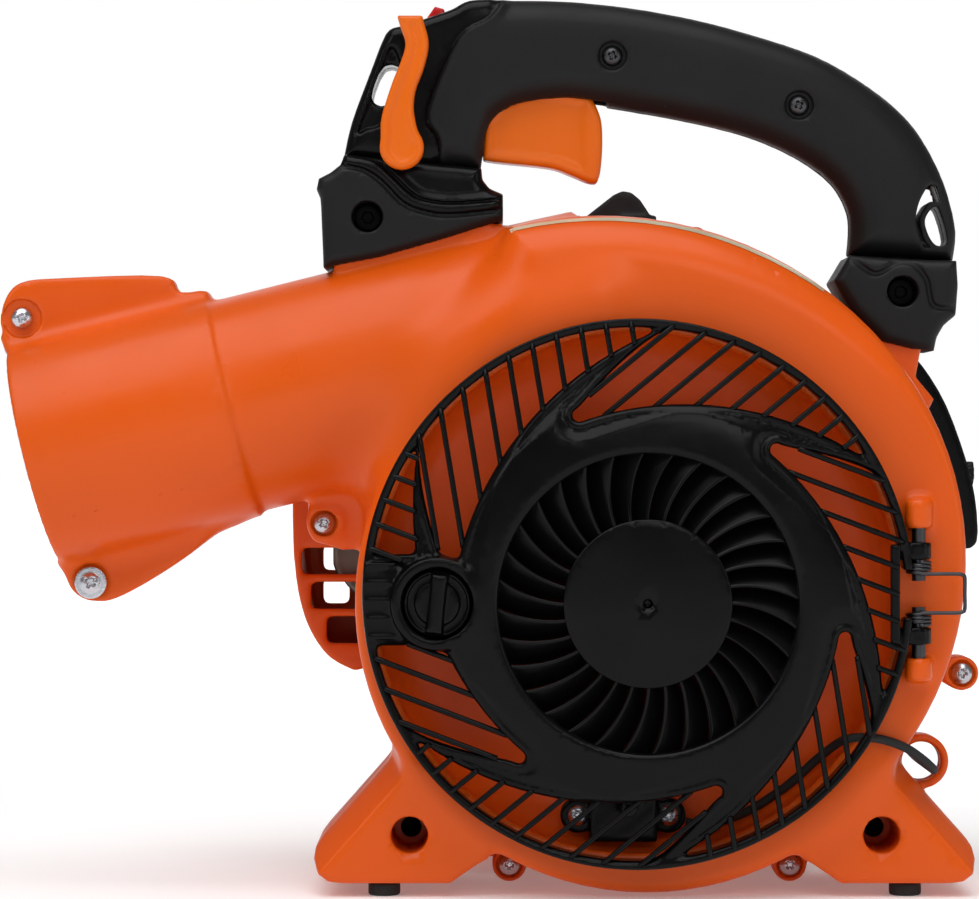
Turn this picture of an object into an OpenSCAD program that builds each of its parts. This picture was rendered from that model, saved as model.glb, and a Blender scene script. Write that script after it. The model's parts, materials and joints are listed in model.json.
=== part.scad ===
// Hand-held petrol leaf blower and vacuum: fan case, intake cover, engine, starter, tank and handle.
// Frame: X runs along the machine (outlet at -X), -Y is the intake side, Z is up, and Z = 0 is the ground.

/* [Fan case] */
// X of the crankshaft and fan axis
fan_x = 53.5; // [50:0.5:57]
// Height of the crankshaft and fan axis
fan_z = 109; // [108:0.5:112]
// Y of the seam between the two case halves
mid_y = -45; // [-50:1:-40]
// Half of the scroll's depth
case_half = 46; // [46:1:48]
// Thickness of the moulded walls
wall = 3; // [2.5:0.5:3.5]
// Radius of the scroll where it starts, at the cut-off
scroll_start = 107; // [106:0.5:107.5]
// How much the scroll's radius grows up to the outlet
scroll_growth = 39; // [37:1:40]

/* [Outlet] */
// Slope of the outlet duct below the horizontal
duct_tilt = 14; // [12:1:16]
// Distance of the duct's centre line from the fan axis
duct_offset = 107.3; // [106:0.1:108]
// Outer radius of the duct
duct_r = 41; // [40:0.5:41.5]
// Outer radius of the collar that clamps the blower tube
collar_r = 43.2; // [43:0.1:44]
// Bore radius of the tube socket
socket_r = 40; // [39:0.5:40]
// Depth of the tube socket
socket_len = 62; // [50:1:70]

/* [Intake] */
// Radius of the round recess that the cover lies over
recess_r = 96; // [94:1:96]
// Depth of that recess
recess_depth = 18; // [16:1:19]
// Radius of the intake eye, where the vacuum tube seats
eye_r = 60; // [58:1:61]
// Number of curved finger-guard vanes
vane_count = 30; // [24:2:32]
// Number of spiral arms and windows
arm_count = 6; // [6:1:6]

/* [Fan] */
// Outer radius of the impeller
impeller_r = 93; // [88:1:94]
// Number of impeller blades
blade_count = 12; // [8:2:14]

/* [Engine] */
// Distance from the seam to the cylinder's axis
engine_y = 74; // [74:1:74]
// Cylinder bore radius
bore_r = 17; // [16:0.5:17.5]
// Half of the stroke
throw = 14; // [13:0.5:14]

/* [Handle] */
// Half of the grip's width
grip_half = 16; // [15:0.5:16]
// Half of the feet's width
foot_half = 20; // [19:0.5:20]

/* [Hidden] */
$fn = 64;

orange = [0.86, 0.30, 0.05];
black = [0.08, 0.08, 0.085];
steel = [0.72, 0.73, 0.75];
alloy = [0.62, 0.63, 0.64];

scroll_turn = 284;       // degrees from the cut-off side round to the outlet's tangent
rim_x = fan_x - 3.5;     // the intake recess and cover rim sit a little off the fan axis
rim_z = fan_z + 3.3;
rim_r = 100.2;           // outer radius of the cover's rim
recess_y = -case_half + recess_depth;
hinge_x = 153;           // the cover's hinge axis, parallel to Z
hinge_y = -52;           // measured from the seam, as are all depths called y below
latch_x = -23;
latch_z = fan_z;
duct_x = fan_x - duct_offset * sin(duct_tilt);
duct_z = fan_z + duct_offset * cos(duct_tilt);
duct_len = 210;          // from the foot of the perpendicular to the mouth
collar_len = 78;
head_r = 4;              // pan heads of the case screws
screw_r = 2;
fit = 0.05;              // radial running clearance
gap = 0.3;               // clearance between neighbouring pieces
shaft_r = 6;
stand_hole_r = 6.4;
stand_hole_x = 87;
stand_hole_z = 23;
stand_seat = -12;        // depth at which the screws deep in the feet are seated
foot_x = 96.5;
foot_y = 34;
rear_foot_x = 60;
rear_foot_y = 112;

// ---------- helpers ----------

// A slab between depths a and b, with its outline drawn in X and Z.
module slab(a, b)
    translate([0, mid_y + b, 0]) rotate([90, 0, 0]) linear_extrude(b - a) children();

// A cylinder along Y between depths a and b.
module rod_y(x, z, r, a, b)
    translate([x, mid_y + b, z]) rotate([90, 0, 0]) cylinder(r = r, h = b - a);

module rod_x(y, z, r, a, b)
    translate([a, mid_y + y, z]) rotate([0, 90, 0]) cylinder(r = r, h = b - a);

module rod_z(x, y, r, a, b)
    translate([x, mid_y + y, a]) cylinder(r = r, h = b - a);

module block(x, y, z)
    translate([x[0], mid_y + y[0], z[0]]) cube([x[1] - x[0], y[1] - y[0], z[1] - z[0]]);

module along_duct(s)
    translate([duct_x, mid_y, duct_z]) rotate([0, -90 - duct_tilt, 0]) translate([0, 0, s]) children();

module half(front)
    intersection() {
        children();
        block([-300, 300], front ? [-80, 0] : [0, 80], [-50, 400]);
    }

function polar(r, a) = [r * cos(a), r * sin(a)];
// The scroll is round at first and opens out at a steady rate from about half way.
function scroll_r(t) =
    let (u = (t - 146) / 138)
    scroll_start + scroll_growth * (u + sqrt(u * u + 0.0144)) / 2;
function scroll_points(inset) =
    [for (t = [-30 : 6 : scroll_turn]) [fan_x, fan_z] + polar(scroll_r(t) - inset, 180 + t)];

// Catmull-Rom points through a list of control points, n steps to a span.
function spline_at(a, b, c, d, t) =
    0.5 * (2 * b + (c - a) * t + (2 * a - 5 * b + 4 * c - d) * t * t + (3 * b - a - 3 * c + d) * t * t * t);
function spline(p, n) = [
    for (i = [0 : len(p) - 2], k = [0 : n - 1])
        spline_at(p[max(i - 1, 0)], p[i], p[i + 1], p[min(i + 2, len(p) - 1)], k / n),
    p[len(p) - 1]
];
function unit(v) = v / norm(v);
function heading(p, i) = unit([for (k = [0, 1]) p[min(i + 1, len(p) - 1)][k] - p[max(i - 1, 0)][k]]);

// The outline of a band whose centre line is spline p and whose third number is its half width.
function beside(p, i, side) =
    let (h = heading(p, i), w = side * p[i][2])
    [p[i][0] - h[1] * w, p[i][1] + h[0] * w];
function band(p) = concat(
    [for (i = [0 : len(p) - 1]) beside(p, i, 1)],
    [for (i = [len(p) - 1 : -1 : 0]) beside(p, i, -1)]
);

// A cable of radius r swept along points [x, y, z], with y measured from the seam.
module cable(points, r, sides = 8, steps = 3) {
    path = spline(points, steps);
    last = len(path) - 1;
    ring = [
        for (i = [0 : last])
            let (t = unit(path[min(i + 1, last)] - path[max(i - 1, 0)]),
                 u = unit(cross(t, [0.31, 0.17, 0.93])),
                 v = cross(t, u))
            for (k = [0 : sides - 1])
                [0, mid_y, 0] + path[i] + r * (cos(360 * k / sides) * u + sin(360 * k / sides) * v)
    ];
    sides_faces = [
        for (i = [0 : last - 1], k = [0 : sides - 1])
            let (a = i * sides + k, b = i * sides + (k + 1) % sides)
            for (f = [[b, a, a + sides], [b + sides, b, a + sides]]) f
    ];
    start = [for (k = [0 : sides - 1]) k];
    end = [for (k = [sides - 1 : -1 : 0]) last * sides + k];
    polyhedron(ring, concat(sides_faces, [start, end]), convexity = 6);
}

// ---------- fan case ----------

// Case screws: x, z and the depth of the surface that the head sits on.
screw_spots = [
    [-180.9, 214.6, -6], [-66.5, 137.1, -8], [3.5, 8.2, -8], [109.4, 8.2, -8], [174.5, 80.4, -8]
];
switch_screws = [28.8, 62.1];
switch_screw_z = 29.6;
clamp_x = -154.7;
clamp_z = 114.7;
bolt_circle_r = 38;      // engine to case
starter_circle_r = 55;   // starter housing to crankcase
starter_angles = [30, 150, 210, 330];
plunger_x = 47;
plunger_z = 34;
pedestal_y = foot_half - 4 - gap;

module stand_outline(inset)
    offset(delta = -inset) for (s = [-1, 1]) translate([fan_x, 0]) scale([s, 1])
        polygon([[90, 52], [119, 21], [120.5, 14], [116, 6.5], [112, 5], [72, 5], [59, 14], [56, 30]]);

module upper_flange()
    offset(r = 2) offset(delta = -2)
        polygon([[-189.3, 216], [-187, 224], [-181, 229], [-167, 230.5], [-128, 231.3], [-121, 225],
                 [-112, 221], [-150, 180], [-186, 203], [-189, 210]]);

module lower_flange()
    offset(r = 2) offset(delta = -2)
        polygon([[-165.5, 121], [-163.5, 113], [-159, 108.5], [-153.5, 107], [-146, 107.8], [-133, 114],
                 [-118, 124.5], [-106, 135], [-130, 160], [-166, 140]]);

module case_outside() {
    for (c = [[0, 4], [1.4, 1.5], [3.2, 0]])
        slab(c[0] - case_half, case_half - c[0]) polygon(scroll_points(c[1]));
    along_duct(-6) cylinder(r = duct_r, h = duct_len - collar_len + 10);
    along_duct(duct_len - collar_len) cylinder(r = collar_r, h = collar_len);
    slab(-6, 6) upper_flange();
    slab(-6, 6) lower_flange();
    slab(-44, 44) stand_outline(0);
    for (p = screw_spots) rod_y(p[0], p[1], 6.3, p[2], -p[2]);
    slab(-8, 8) polygon([[-72, 140], [-60, 128], [-44, 128], [-44, 165], [-70, 165]]);
    for (k = [2 : 4]) {
        spot = screw_spots[k];
        slab(-8, 8) translate([spot[0], spot[1]]) rotate(atan2(fan_z - spot[1], fan_x - spot[0]))
            translate([0, -5]) square([14, 10]);
    }
    slab(-pedestal_y, pedestal_y) offset(delta = -gap) polygon(left_core);
    slab(-pedestal_y, pedestal_y) offset(delta = -gap) polygon(right_core);
}

module case_inside() {
    difference() {
        union() {
            for (c = [[0, 6], [1.5, 3]])
                slab(-case_half + wall + c[0], case_half - wall - c[0])
                    polygon(scroll_points(wall - 3 + c[1]));
            along_duct(-20) cylinder(r = duct_r - wall, h = duct_len);
        }
        rod_y(rim_x, rim_z, recess_r + wall, -case_half, recess_y + wall);
    }
    along_duct(duct_len - socket_len) cylinder(r = socket_r, h = socket_len + 1);
    slab(-44 + wall, 44 - wall) difference() {
        stand_outline(wall);
        polygon(scroll_points(0.5));
        for (s = [-1, 1]) translate([fan_x + s * stand_hole_x, stand_hole_z]) circle(r = stand_hole_r + 2.5);
    }
    for (s = [-1, 1]) {
        rod_y(fan_x + s * stand_hole_x, stand_hole_z, stand_hole_r, -60, stand_seat);
        rod_y(fan_x + s * stand_hole_x, stand_hole_z, screw_r + fit, stand_seat - 1, 14);
    }
    for (p = screw_spots) rod_y(p[0], p[1], screw_r + fit, -20, 20);
    rod_y(clamp_x, clamp_z, 2.5 + fit, -20, 20);
    for (s = [-1, 1], y = [-foot_y, foot_y]) rod_z(fan_x + s * foot_x, y, 3.05, 0, 12);
    for (f = [left_bolt, right_bolt]) {
        rod_y(f[0], f[1], 3 + fit, -40, 40);
        foot_cups(f, cup_r + gap, cup_depth - gap);
    }
}

// The notch and loop that lead the interlock's cable round the case.
loop_x = 159.5;
loop_z = 47;

module lead_loop(a, b)
    slab(a, b) difference() {
        translate([loop_x, loop_z]) circle(r = 10.3);
        translate([loop_x, loop_z]) circle(r = 7.4);
        stand_outline(0.5);
        polygon(scroll_points(0.5));
    }

module hinge_ears()
    for (z = [[136, 147], [80, 89]]) {
        rod_z(hinge_x, hinge_y, 5, z[0], z[1]);
        block([hinge_x - 3, hinge_x + 5], [hinge_y, -case_half + 1], z);
    }

module fan_case_front() {
    color(orange) {
        difference() {
            union() {
                half(true) difference() {
                    case_outside();
                    case_inside();
                }
                rod_y(fan_x, fan_z, eye_r + wall, recess_y - 6, recess_y + 1);
                for (x = switch_screws) rod_y(x, switch_screw_z, 4.5, -30, recess_y + 1);
                hinge_ears();
                lead_loop(-6, -gap / 2);
            }
            difference() {
                rod_y(rim_x, rim_z, recess_r, -60, recess_y);
                rod_y(fan_x, fan_z, eye_r + wall, recess_y - 6, 0);
                for (x = switch_screws) rod_y(x, switch_screw_z, 4.5, -30, 0);
            }
            rod_y(fan_x, fan_z, eye_r, -60, -20);
            rod_z(hinge_x, hinge_y, 2.5 + fit, 70, 150);
            for (x = switch_screws) rod_y(x, switch_screw_z, screw_r + fit, -60, -24);
        }
    }
}

module fan_case_rear()
    color(orange) difference() {
        union() {
            half(false) difference() {
                case_outside();
                case_inside();
            }
            lead_loop(gap / 2, 6);
        }
        rod_y(fan_x, fan_z, 22, 30, 60);
        for (a = [45 : 90 : 315]) {
            p = [fan_x, fan_z] + polar(bolt_circle_r, a);
            rod_y(p[0], p[1], screw_r + fit, 30, 60);
        }
    }

// A cross-recessed pan-head screw along Y with its head's seat at depth y.
module pan_screw(x, z, y, len, r = screw_r, head = head_r)
    difference() {
        union() {
            rod_y(x, z, r, y, y + len);
            rod_y(x, z, head, y - 1.6, y);
            rod_y(x, z, head * 0.72, y - 2.6, y - 1.6);
        }
        for (s = [[4.2, 1], [1, 4.2]])
            block([x - s[0] / 2, x + s[0] / 2], [y - 3, y - 1.2], [z - s[1] / 2, z + s[1] / 2]);
    }

module case_screws()
    color(steel) {
        for (p = screw_spots) pan_screw(p[0], p[1], p[2], 2 * abs(p[2]) - 1);
        for (x = switch_screws) pan_screw(x, switch_screw_z, -37, 11);
        for (s = [-1, 1]) pan_screw(fan_x + s * stand_hole_x, stand_hole_z, stand_seat, 24);
    }

module tube_clamp_bolt()
    color(steel) {
        pan_screw(clamp_x, clamp_z, -7.2, 18, 2.5, 4.6);
        difference() {
            rod_y(clamp_x, clamp_z, 6, -7.2, -6);
            rod_y(clamp_x, clamp_z, 2.5 + fit, -8, -5);
        }
        difference() {
            translate([clamp_x, mid_y + 10, clamp_z]) rotate([90, 0, 0]) cylinder(r = 4.6, h = 4, $fn = 6);
            rod_y(clamp_x, clamp_z, 2.5 + fit, 5, 11);
        }
    }

module bumper(x, y) {
    rod_z(x, y, 3, 4, 8.3);
    difference() {
        rod_z(x, y, 6, 0, 4.95);
        rod_z(x, y, 1.5, -1, 2);
    }
    rod_z(x, y, 4.5, 8.1, 10);
}

module rubber_feet()
    color(black) {
        for (s = [-1, 1], y = [-foot_y, foot_y]) bumper(fan_x + s * foot_x, y);
        for (s = [-1, 1]) bumper(fan_x + s * rear_foot_x, rear_foot_y);
    }

// ---------- intake cover ----------

// One window: its hub side climbs a slow spiral and its outer side a quick one, up to the rim.
function window_points(start) = concat(
    [for (d = [0 : 6 : 90]) [fan_x, fan_z] + polar(71 + 27 * pow(d / 86, 1.9), start - d)],
    [for (d = [90 : -12 : 42]) [fan_x, fan_z] + polar(125, start - d)],
    [for (d = [42 : -6 : 0]) [fan_x, fan_z] + polar(74.5 + 29.5 * pow(d / 40, 0.75), start - d)]
);

module window(i)
    intersection() {
        offset(r = 2) offset(delta = -2) polygon(window_points(110 - 60 * i));
        translate([rim_x, rim_z]) circle(r = rim_r - 3.5);
    }

module latch_pad()
    offset(r = 2) offset(delta = -2) {
        translate([latch_x, latch_z]) circle(r = 17);
        polygon([[-52, 96], [-50, 124], [-20, 124], [-20, 94]]);
    }

module window_bars(i)
    intersection() {
        window(i);
        for (k = [-13 : 13])
            translate([fan_x, fan_z]) rotate(39.4 - 60 * i) translate([-10, k * 8.6]) square([120, 1.6]);
    }

function vane_points(a) = concat(
    [for (r = [29 : 4 : 57]) [fan_x, fan_z] + polar(r, a - (r - 29) * 0.55)],
    [for (r = [57 : -4 : 29]) [fan_x, fan_z] + polar(r, a - (r - 29) * 0.55 + 60 / r)]
);

module rim_ring(r, w)
    translate([rim_x, rim_z]) difference() {
        circle(r = r);
        circle(r = r - w);
    }

module cover_area()
    intersection() {
        translate([rim_x, rim_z]) circle(r = rim_r);
        children();
    }

module intake_grille()
    color(black) difference() {
        union() {
            slab(-61, -56) cover_area() difference() {
                translate([rim_x, rim_z]) circle(r = rim_r);
                translate([fan_x, fan_z]) circle(r = 54.8);
                for (i = [0 : arm_count - 1]) difference() {
                    window(i);
                    latch_pad();
                }
            }
            slab(-66, -60) translate([fan_x, fan_z]) difference() {
                circle(r = 69);
                circle(r = 54.8);
            }
            slab(-60, -case_half - gap) rim_ring(rim_r, 3.2);
            slab(-60, -57) for (i = [0 : arm_count - 1]) window_bars(i);
            for (k = [0 : vane_count - 1]) slab(-64, -59) polygon(vane_points(k * 360 / vane_count));
            rod_y(fan_x, fan_z, 30.8, -65, -62);
            slab(-63, -50) translate([latch_x, latch_z]) circle(r = 16);
            rod_y(plunger_x, plunger_z, 3, -58, -44);
            // Hinge arms and knuckles
            for (z = [[93.8, 100], [124.8, 131]]) {
                rod_z(hinge_x, hinge_y, 4.6, z[0], z[1]);
                block([144.5, hinge_x], [-55.5, -50.5], [z[0] + 0.6, z[1] - 0.6]);
            }
            // Inner edge of the notch for the hinge's spring
            block([142.2, 145.4], [-60, -54], [94, 130.5]);
        }
        rod_y(latch_x, latch_z, 13.2, -70, -57);
        rod_y(latch_x, latch_z, 3.45, -70, -40);
        rod_z(hinge_x, hinge_y, 2.5 + fit, 90, 140);
        rod_y(fan_x, fan_z, 1.8, -70, -50);
        // Room for the spring's coils, and for its loop when the cover stands open
        rod_z(hinge_x, hinge_y, 5.5, 100.05, 124.75);
        block([145.4, hinge_x], [-62, -48.5], [103.6, 121.3]);
        // Mouse hole over the interlock's lead
        block([128, 152], [-52.5, -40], [51, 64]);
    }

module latch_knob()
    color(black) {
        rod_y(latch_x, latch_z, 12.4, -62.5, -57.2);
        slab(-68, -62) translate([latch_x, latch_z]) rotate(-6) square([5, 21], center = true);
        rod_y(latch_x, latch_z, 3.4, -58, -42.9);
        slab(-45.4, -42.9) translate([latch_x, latch_z]) intersection() {
            square([7, 17], center = true);
            circle(r = 8.5);
        }
    }

// Two steel cheeks on the recess floor. The latch's tongue drops between them and turns under their lips.
module latch_keeper()
    color(steel) for (s = [-1, 1]) translate([latch_x, 0, 0]) scale([s, 1, 1]) {
        block([9.6, 12.5], [-48.6, recess_y], [99, 119]);
        block([4.4, 12.5], [-48.6, -46], [99, 119]);
    }

module hinge_pins()
    color(black) for (z = [[117, 143], [83, 107.4]]) rod_z(hinge_x, hinge_y, 2.5, z[0], z[1]);

// Double torsion spring: two coils round the pins and a square loop between them.
module hinge_spring() {
    wire = 0.75;
    coil_r = 4.1;
    loop_x_end = 172.5;
    turn = 12;
    function coil(z0, rise, turns) =
        [for (k = [0 : turn * turns])
            [hinge_x + coil_r * cos(k * 360 / turn - 90), hinge_y + coil_r * sin(k * 360 / turn - 90),
             z0 + rise * k / (turn * turns)]];
    color([0.15, 0.16, 0.17]) {
        cable(coil(124, -5.4, 3), wire, 8, 1);
        cable(coil(100.9, 5.4, 3), wire, 8, 1);
        difference() {
            slab(hinge_y - coil_r - wire, hinge_y - coil_r + wire) difference() {
                translate([hinge_x, 104.9]) square([loop_x_end - hinge_x, 15.1]);
                translate([hinge_x - 1, 106.4]) square([loop_x_end - hinge_x - 0.5, 12.1]);
            }
            rod_z(hinge_x, hinge_y, 4.9, 100, 125);
        }
    }
}

module interlock_switch()
    color(black) difference() {
        union() {
            slab(-40, -30) polygon([[33, 20], [58, 20], [58, 38], [33, 38]]);
            for (x = switch_screws) rod_y(x, switch_screw_z, 6.6, -37, -30);
        }
        rod_y(plunger_x, plunger_z, 2.6, -50, -33);
        for (x = switch_screws) rod_y(x, switch_screw_z, screw_r + fit, -50, -20);
    }

module interlock_plunger()
    color([0.75, 0.75, 0.72]) rod_y(plunger_x, plunger_z, 2.5, -43.7, -35);

lead_route = [
    [68.9, -35, 27], [78, -34, 26], [92, -33, 31], [106, -33, 40], [117, -35, 50], [123.5, -41, 56],
    [127.5, -47.9, 58.8], [134, -49.3, 59.4], [141, -49, 58.4], [149, -48.8, 55.4], [156, -46, 50.5],
    [160.3, -38, 46.6],
    [160.5, -20, 46.4], [160.5, 0, 46.4], [160.5, 30, 46.6], [158, 48, 50], [148, 57, 59],
    [128, 62, 75], [106, 62, 93], [89, 62, 106]
];

module interlock_lead()
    color(black) cable(lead_route, 1.7, 8, 3);

// ---------- fan and crank train ----------

function blade_points(a, from, to) = concat(
    [for (r = [from : (to - from) / 6 : to + 0.01]) [fan_x, fan_z] + polar(r, a + (r - 20) * 0.42)],
    [for (r = [to : (from - to) / 6 : from - 0.01]) [fan_x, fan_z] + polar(r, a + (r - 20) * 0.42 + 126 / r)]
);

module impeller()
    color([0.13, 0.13, 0.14]) difference() {
        union() {
            rod_y(fan_x, fan_z, impeller_r, 24, 27);
            rod_y(fan_x, fan_z, 14, -11, 27);
            rod_y(fan_x, fan_z, 24, 8, 25);
            for (k = [0 : blade_count - 1]) {
                slab(-10, 25) polygon(blade_points(k * 360 / blade_count, 20, impeller_r - 0.5));
                slab(-20, -9) polygon(blade_points(k * 360 / blade_count, 61, impeller_r - 0.5));
            }
        }
        rod_y(fan_x, fan_z, shaft_r + fit, -20, 40);
    }

module shredder_blade()
    color(steel) slab(-13.2, -11.1) difference() {
        translate([fan_x, fan_z]) {
            circle(r = 17);
            for (a = [30, 150, 270]) rotate(a) {
                translate([0, -6]) square([50, 12]);
                for (k = [0 : 3]) translate([24 + 8 * k, -6]) circle(r = 4, $fn = 3);
                translate([46, -6]) square([9, 15]);
            }
        }
        translate([fan_x, fan_z]) circle(r = shaft_r + fit);
    }

module hex_nut(y0, y1, r_bore)
    difference() {
        translate([fan_x, mid_y + y1, fan_z]) rotate([90, 0, 0]) cylinder(r = 9, h = y1 - y0, $fn = 6);
        rod_y(fan_x, fan_z, r_bore, y0 - 1, y1 + 1);
    }

module shaft_nuts()
    color(steel) {
        hex_nut(-20, -13.2, 5 + fit);
        hex_nut(118.5, 125, 5 + fit);
    }

module crankshaft()
    color(steel) {
        rod_y(fan_x, fan_z, shaft_r, -13.2, 61);
        rod_y(fan_x, fan_z, 5, -21.5, -13);
        rod_y(fan_x, fan_z, 24, 61, 68);
        rod_y(fan_x, fan_z, 24, 80, 87);
        rod_y(fan_x, fan_z, shaft_r, 87, 118.5);
        rod_y(fan_x, fan_z, 5, 118, 126);
    }

module connecting_rod() {
    big = fan_z + throw;
    small = big + 50;
    color(steel) {
        rod_y(fan_x, big, shaft_r, 68.15, 79.85);
        rod_y(fan_x, small, 4, engine_y - 13, engine_y + 13);
    }
    color(alloy) difference() {
        union() {
            rod_y(fan_x, big, 9.5, 69, 79);
            rod_y(fan_x, small, 6.5, 69, 79);
            block([fan_x - 4, fan_x + 4], [71.5, 76.5], [big + 5, small - 3]);
        }
        rod_y(fan_x, big, shaft_r + fit, 60, 90);
        rod_y(fan_x, small, 4 + fit, 60, 90);
    }
}

module piston() {
    pin_z = fan_z + throw + 50;
    color(alloy) difference() {
        rod_z(fan_x, engine_y, bore_r - 0.06, pin_z - 13, pin_z + 15);
        difference() {
            rod_z(fan_x, engine_y, bore_r - 2.8, pin_z - 14, pin_z + 11.5);
            rod_y(fan_x, pin_z, 6.5, engine_y - 16, engine_y - 5.8);
            rod_y(fan_x, pin_z, 6.5, engine_y + 5.8, engine_y + 16);
        }
        rod_y(fan_x, pin_z, 4 + fit, engine_y - 20, engine_y + 20);
        for (z = [6, 10]) difference() {
            rod_z(fan_x, engine_y, bore_r + 1, pin_z + z, pin_z + z + 1.2);
            rod_z(fan_x, engine_y, bore_r - 0.9, pin_z + z - 1, pin_z + z + 2);
        }
    }
}

module crankcase_body() {
    rod_y(fan_x, fan_z, 33, 46, 101);
    rod_y(fan_x, fan_z, 44, 46, 50);
    block([fan_x - 25, fan_x + 25], [49.5, 98.5], [fan_z, 140]);
    for (a = starter_angles) {
        p = [fan_x, fan_z] + polar(starter_circle_r, a);
        rod_y(p[0], p[1], 5, 92, 101.8);
        translate([fan_x, mid_y + 93, fan_z]) rotate([0, -a, 0]) translate([20, 0, -3.5]) cube([34, 7, 7]);
    }
}

module crankcase_hollow() {
    rod_y(fan_x, fan_z, 27, 60.3, 87.7);
    rod_z(fan_x, engine_y, bore_r, fan_z, 141);
    rod_y(fan_x, fan_z, 16 + 0.02, 51, 61);
    rod_y(fan_x, fan_z, 16 + 0.02, 87, 97);
    rod_y(fan_x, fan_z, 12, 45, 52);
    rod_y(fan_x, fan_z, 12, 96, 102);
    for (a = [45 : 90 : 315]) {
        p = [fan_x, fan_z] + polar(bolt_circle_r, a);
        rod_y(p[0], p[1], screw_r + fit, 40, 54);
    }
    for (a = starter_angles) {
        p = [fan_x, fan_z] + polar(starter_circle_r, a);
        rod_y(p[0], p[1], screw_r + fit, 90, 110);
    }
}

module crankcase_half(front)
    color(alloy) intersection() {
        difference() {
            crankcase_body();
            crankcase_hollow();
        }
        block([-20, 130], front ? [45, engine_y] : [engine_y, 103], [0, 140]);
    }

module ball_bearing(y) {
    difference() {
        rod_y(fan_x, fan_z, 16, y, y + 8.6);
        rod_y(fan_x, fan_z, 13.2, y - 1, y + 10);
    }
    difference() {
        rod_y(fan_x, fan_z, 8.6, y, y + 8.6);
        rod_y(fan_x, fan_z, shaft_r + fit, y - 1, y + 10);
    }
    for (k = [0 : 7]) {
        p = [fan_x, fan_z] + polar(10.9, 45 * k);
        translate([p[0], mid_y + y + 4.3, p[1]]) sphere(r = 2.2);
    }
}

module crank_bearings()
    color(steel) {
        ball_bearing(51.5);
        ball_bearing(87.9);
    }

module oil_seals()
    color([0.25, 0.12, 0.08]) for (y = [[47, 50.8], [97.4, 101]]) difference() {
        rod_y(fan_x, fan_z, 11.95, y[0], y[1]);
        rod_y(fan_x, fan_z, shaft_r + fit, y[0] - 1, y[1] + 1);
    }

// ---------- engine ----------

port_z = 168;            // height of the exhaust and intake ports
guard_depth = [46.6, 101.6];
guard_screw = [-68.5, 135.5];
tail_pipe = [-50, 150];

module cylinder_barrel()
    color(alloy) difference() {
        union() {
            rod_z(fan_x, engine_y, 20.5, 140, 202);
            block([fan_x - 25, fan_x + 25], [49.5, 98.5], [140, 144]);
            for (z = [149 : 7 : 205]) block([fan_x - 33, fan_x + 33], [53, 95], [z, z + 2]);
            block([fan_x - 36, fan_x - 15], [62, 86], [port_z - 9, port_z + 9]);
            block([fan_x + 15, fan_x + 36], [62, 86], [port_z - 9, port_z + 9]);
            rod_z(fan_x, engine_y, 9, 200, 209);
            for (x = [-9, 9]) block([fan_x + x - 2, fan_x + x + 2], [93, 104], [154.6, 157.9]);
        }
        rod_z(fan_x, engine_y, bore_r, 139, 190);
        translate([fan_x, mid_y + engine_y, 189.9]) cylinder(r1 = bore_r, r2 = 7, h = 7);
        rod_z(fan_x, engine_y, 5, 190, 210);
        rod_x(engine_y, port_z, 6, fan_x - 40, fan_x - 10);
        rod_x(engine_y, port_z - 3, 5, fan_x + 10, fan_x + 40);
    }

module spark_plug()
    color([0.85, 0.85, 0.83]) {
        rod_z(fan_x, engine_y, 4.95, 196, 209);
        translate([fan_x, mid_y + engine_y, 209]) cylinder(r = 9, h = 8, $fn = 6);
        rod_z(fan_x, engine_y, 6, 217, 221);
        translate([fan_x, mid_y + engine_y, 221]) cylinder(r1 = 5.2, r2 = 4, h = 19);
        rod_z(fan_x, engine_y, 3, 240, 246);
    }

module plug_boot()
    color(black) difference() {
        union() {
            rod_z(fan_x, engine_y, 8.2, 221.5, 257);
            slab(engine_y - 7, engine_y + 7)
                polygon([[42.5, 250], [42.5, 253.4], [35, 253.4], [34, 257.5], [45.5, 266.5], [49, 268],
                         [52.5, 267.4], [56, 264.5], [59, 260], [61, 256], [61, 250]]);
            rod_z(fan_x, engine_y, 9.3, 256, 258.5);
        }
        rod_z(fan_x, engine_y, 5.3, 221, 240);
        rod_z(fan_x, engine_y, 3.05, 239, 246.5);
    }

coil_z = fan_z + 53;

module ignition_coil()
    color([0.12, 0.12, 0.14]) {
        block([fan_x - 15, fan_x + 15], [104, 114], [coil_z - 2, coil_z + 4]);
        for (x = [-12, 12]) block([fan_x + x - 3, fan_x + x + 3], [104, 114], [fan_z + 46, coil_z - 1]);
        block([fan_x - 9, fan_x + 9], [100.5, 117], [coil_z - 4, coil_z + 9]);
        cable([[fan_x - 8, 110, coil_z + 4], [fan_x - 20, 109, coil_z + 16], [fan_x - 27, 106, coil_z + 40],
               [fan_x - 26, 97, 236], [fan_x - 22, 86, 248], [fan_x - 21.5, 82, 255.5],
               [fan_x - 22.1, engine_y, 256.5]], 2.4, 8, 3);
    }

module flywheel()
    color(alloy) difference() {
        union() {
            rod_y(fan_x, fan_z, 45, 102, 106);
            rod_y(fan_x, fan_z, 14, 101.5, 118.5);
            for (k = [0 : 15]) slab(105.5, 117) translate([fan_x, fan_z]) rotate(22.5 * k)
                polygon([[20, -1], [42, 8], [44, 8], [44, 10], [41, 10.5], [20, 1.5]]);
            for (a = [0, 180]) slab(105.5, 113) translate([fan_x, fan_z]) rotate(a + 4)
                translate([30, -7]) square([13, 14]);
        }
        rod_y(fan_x, fan_z, shaft_r + 0.02, 100, 120);
    }

module shroud_outline(inset)
    union() {
        translate([fan_x, fan_z]) circle(r = 60 - inset);
        translate([fan_x, 0]) polygon([[-40 + inset, fan_z + 30], [-40 + inset, 238 - inset / 2],
            [-26 + inset / 2, 253 - inset], [26 - inset / 2, 253 - inset], [40 - inset, 238 - inset / 2],
            [40 - inset, fan_z + 30]]);
    }

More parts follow.
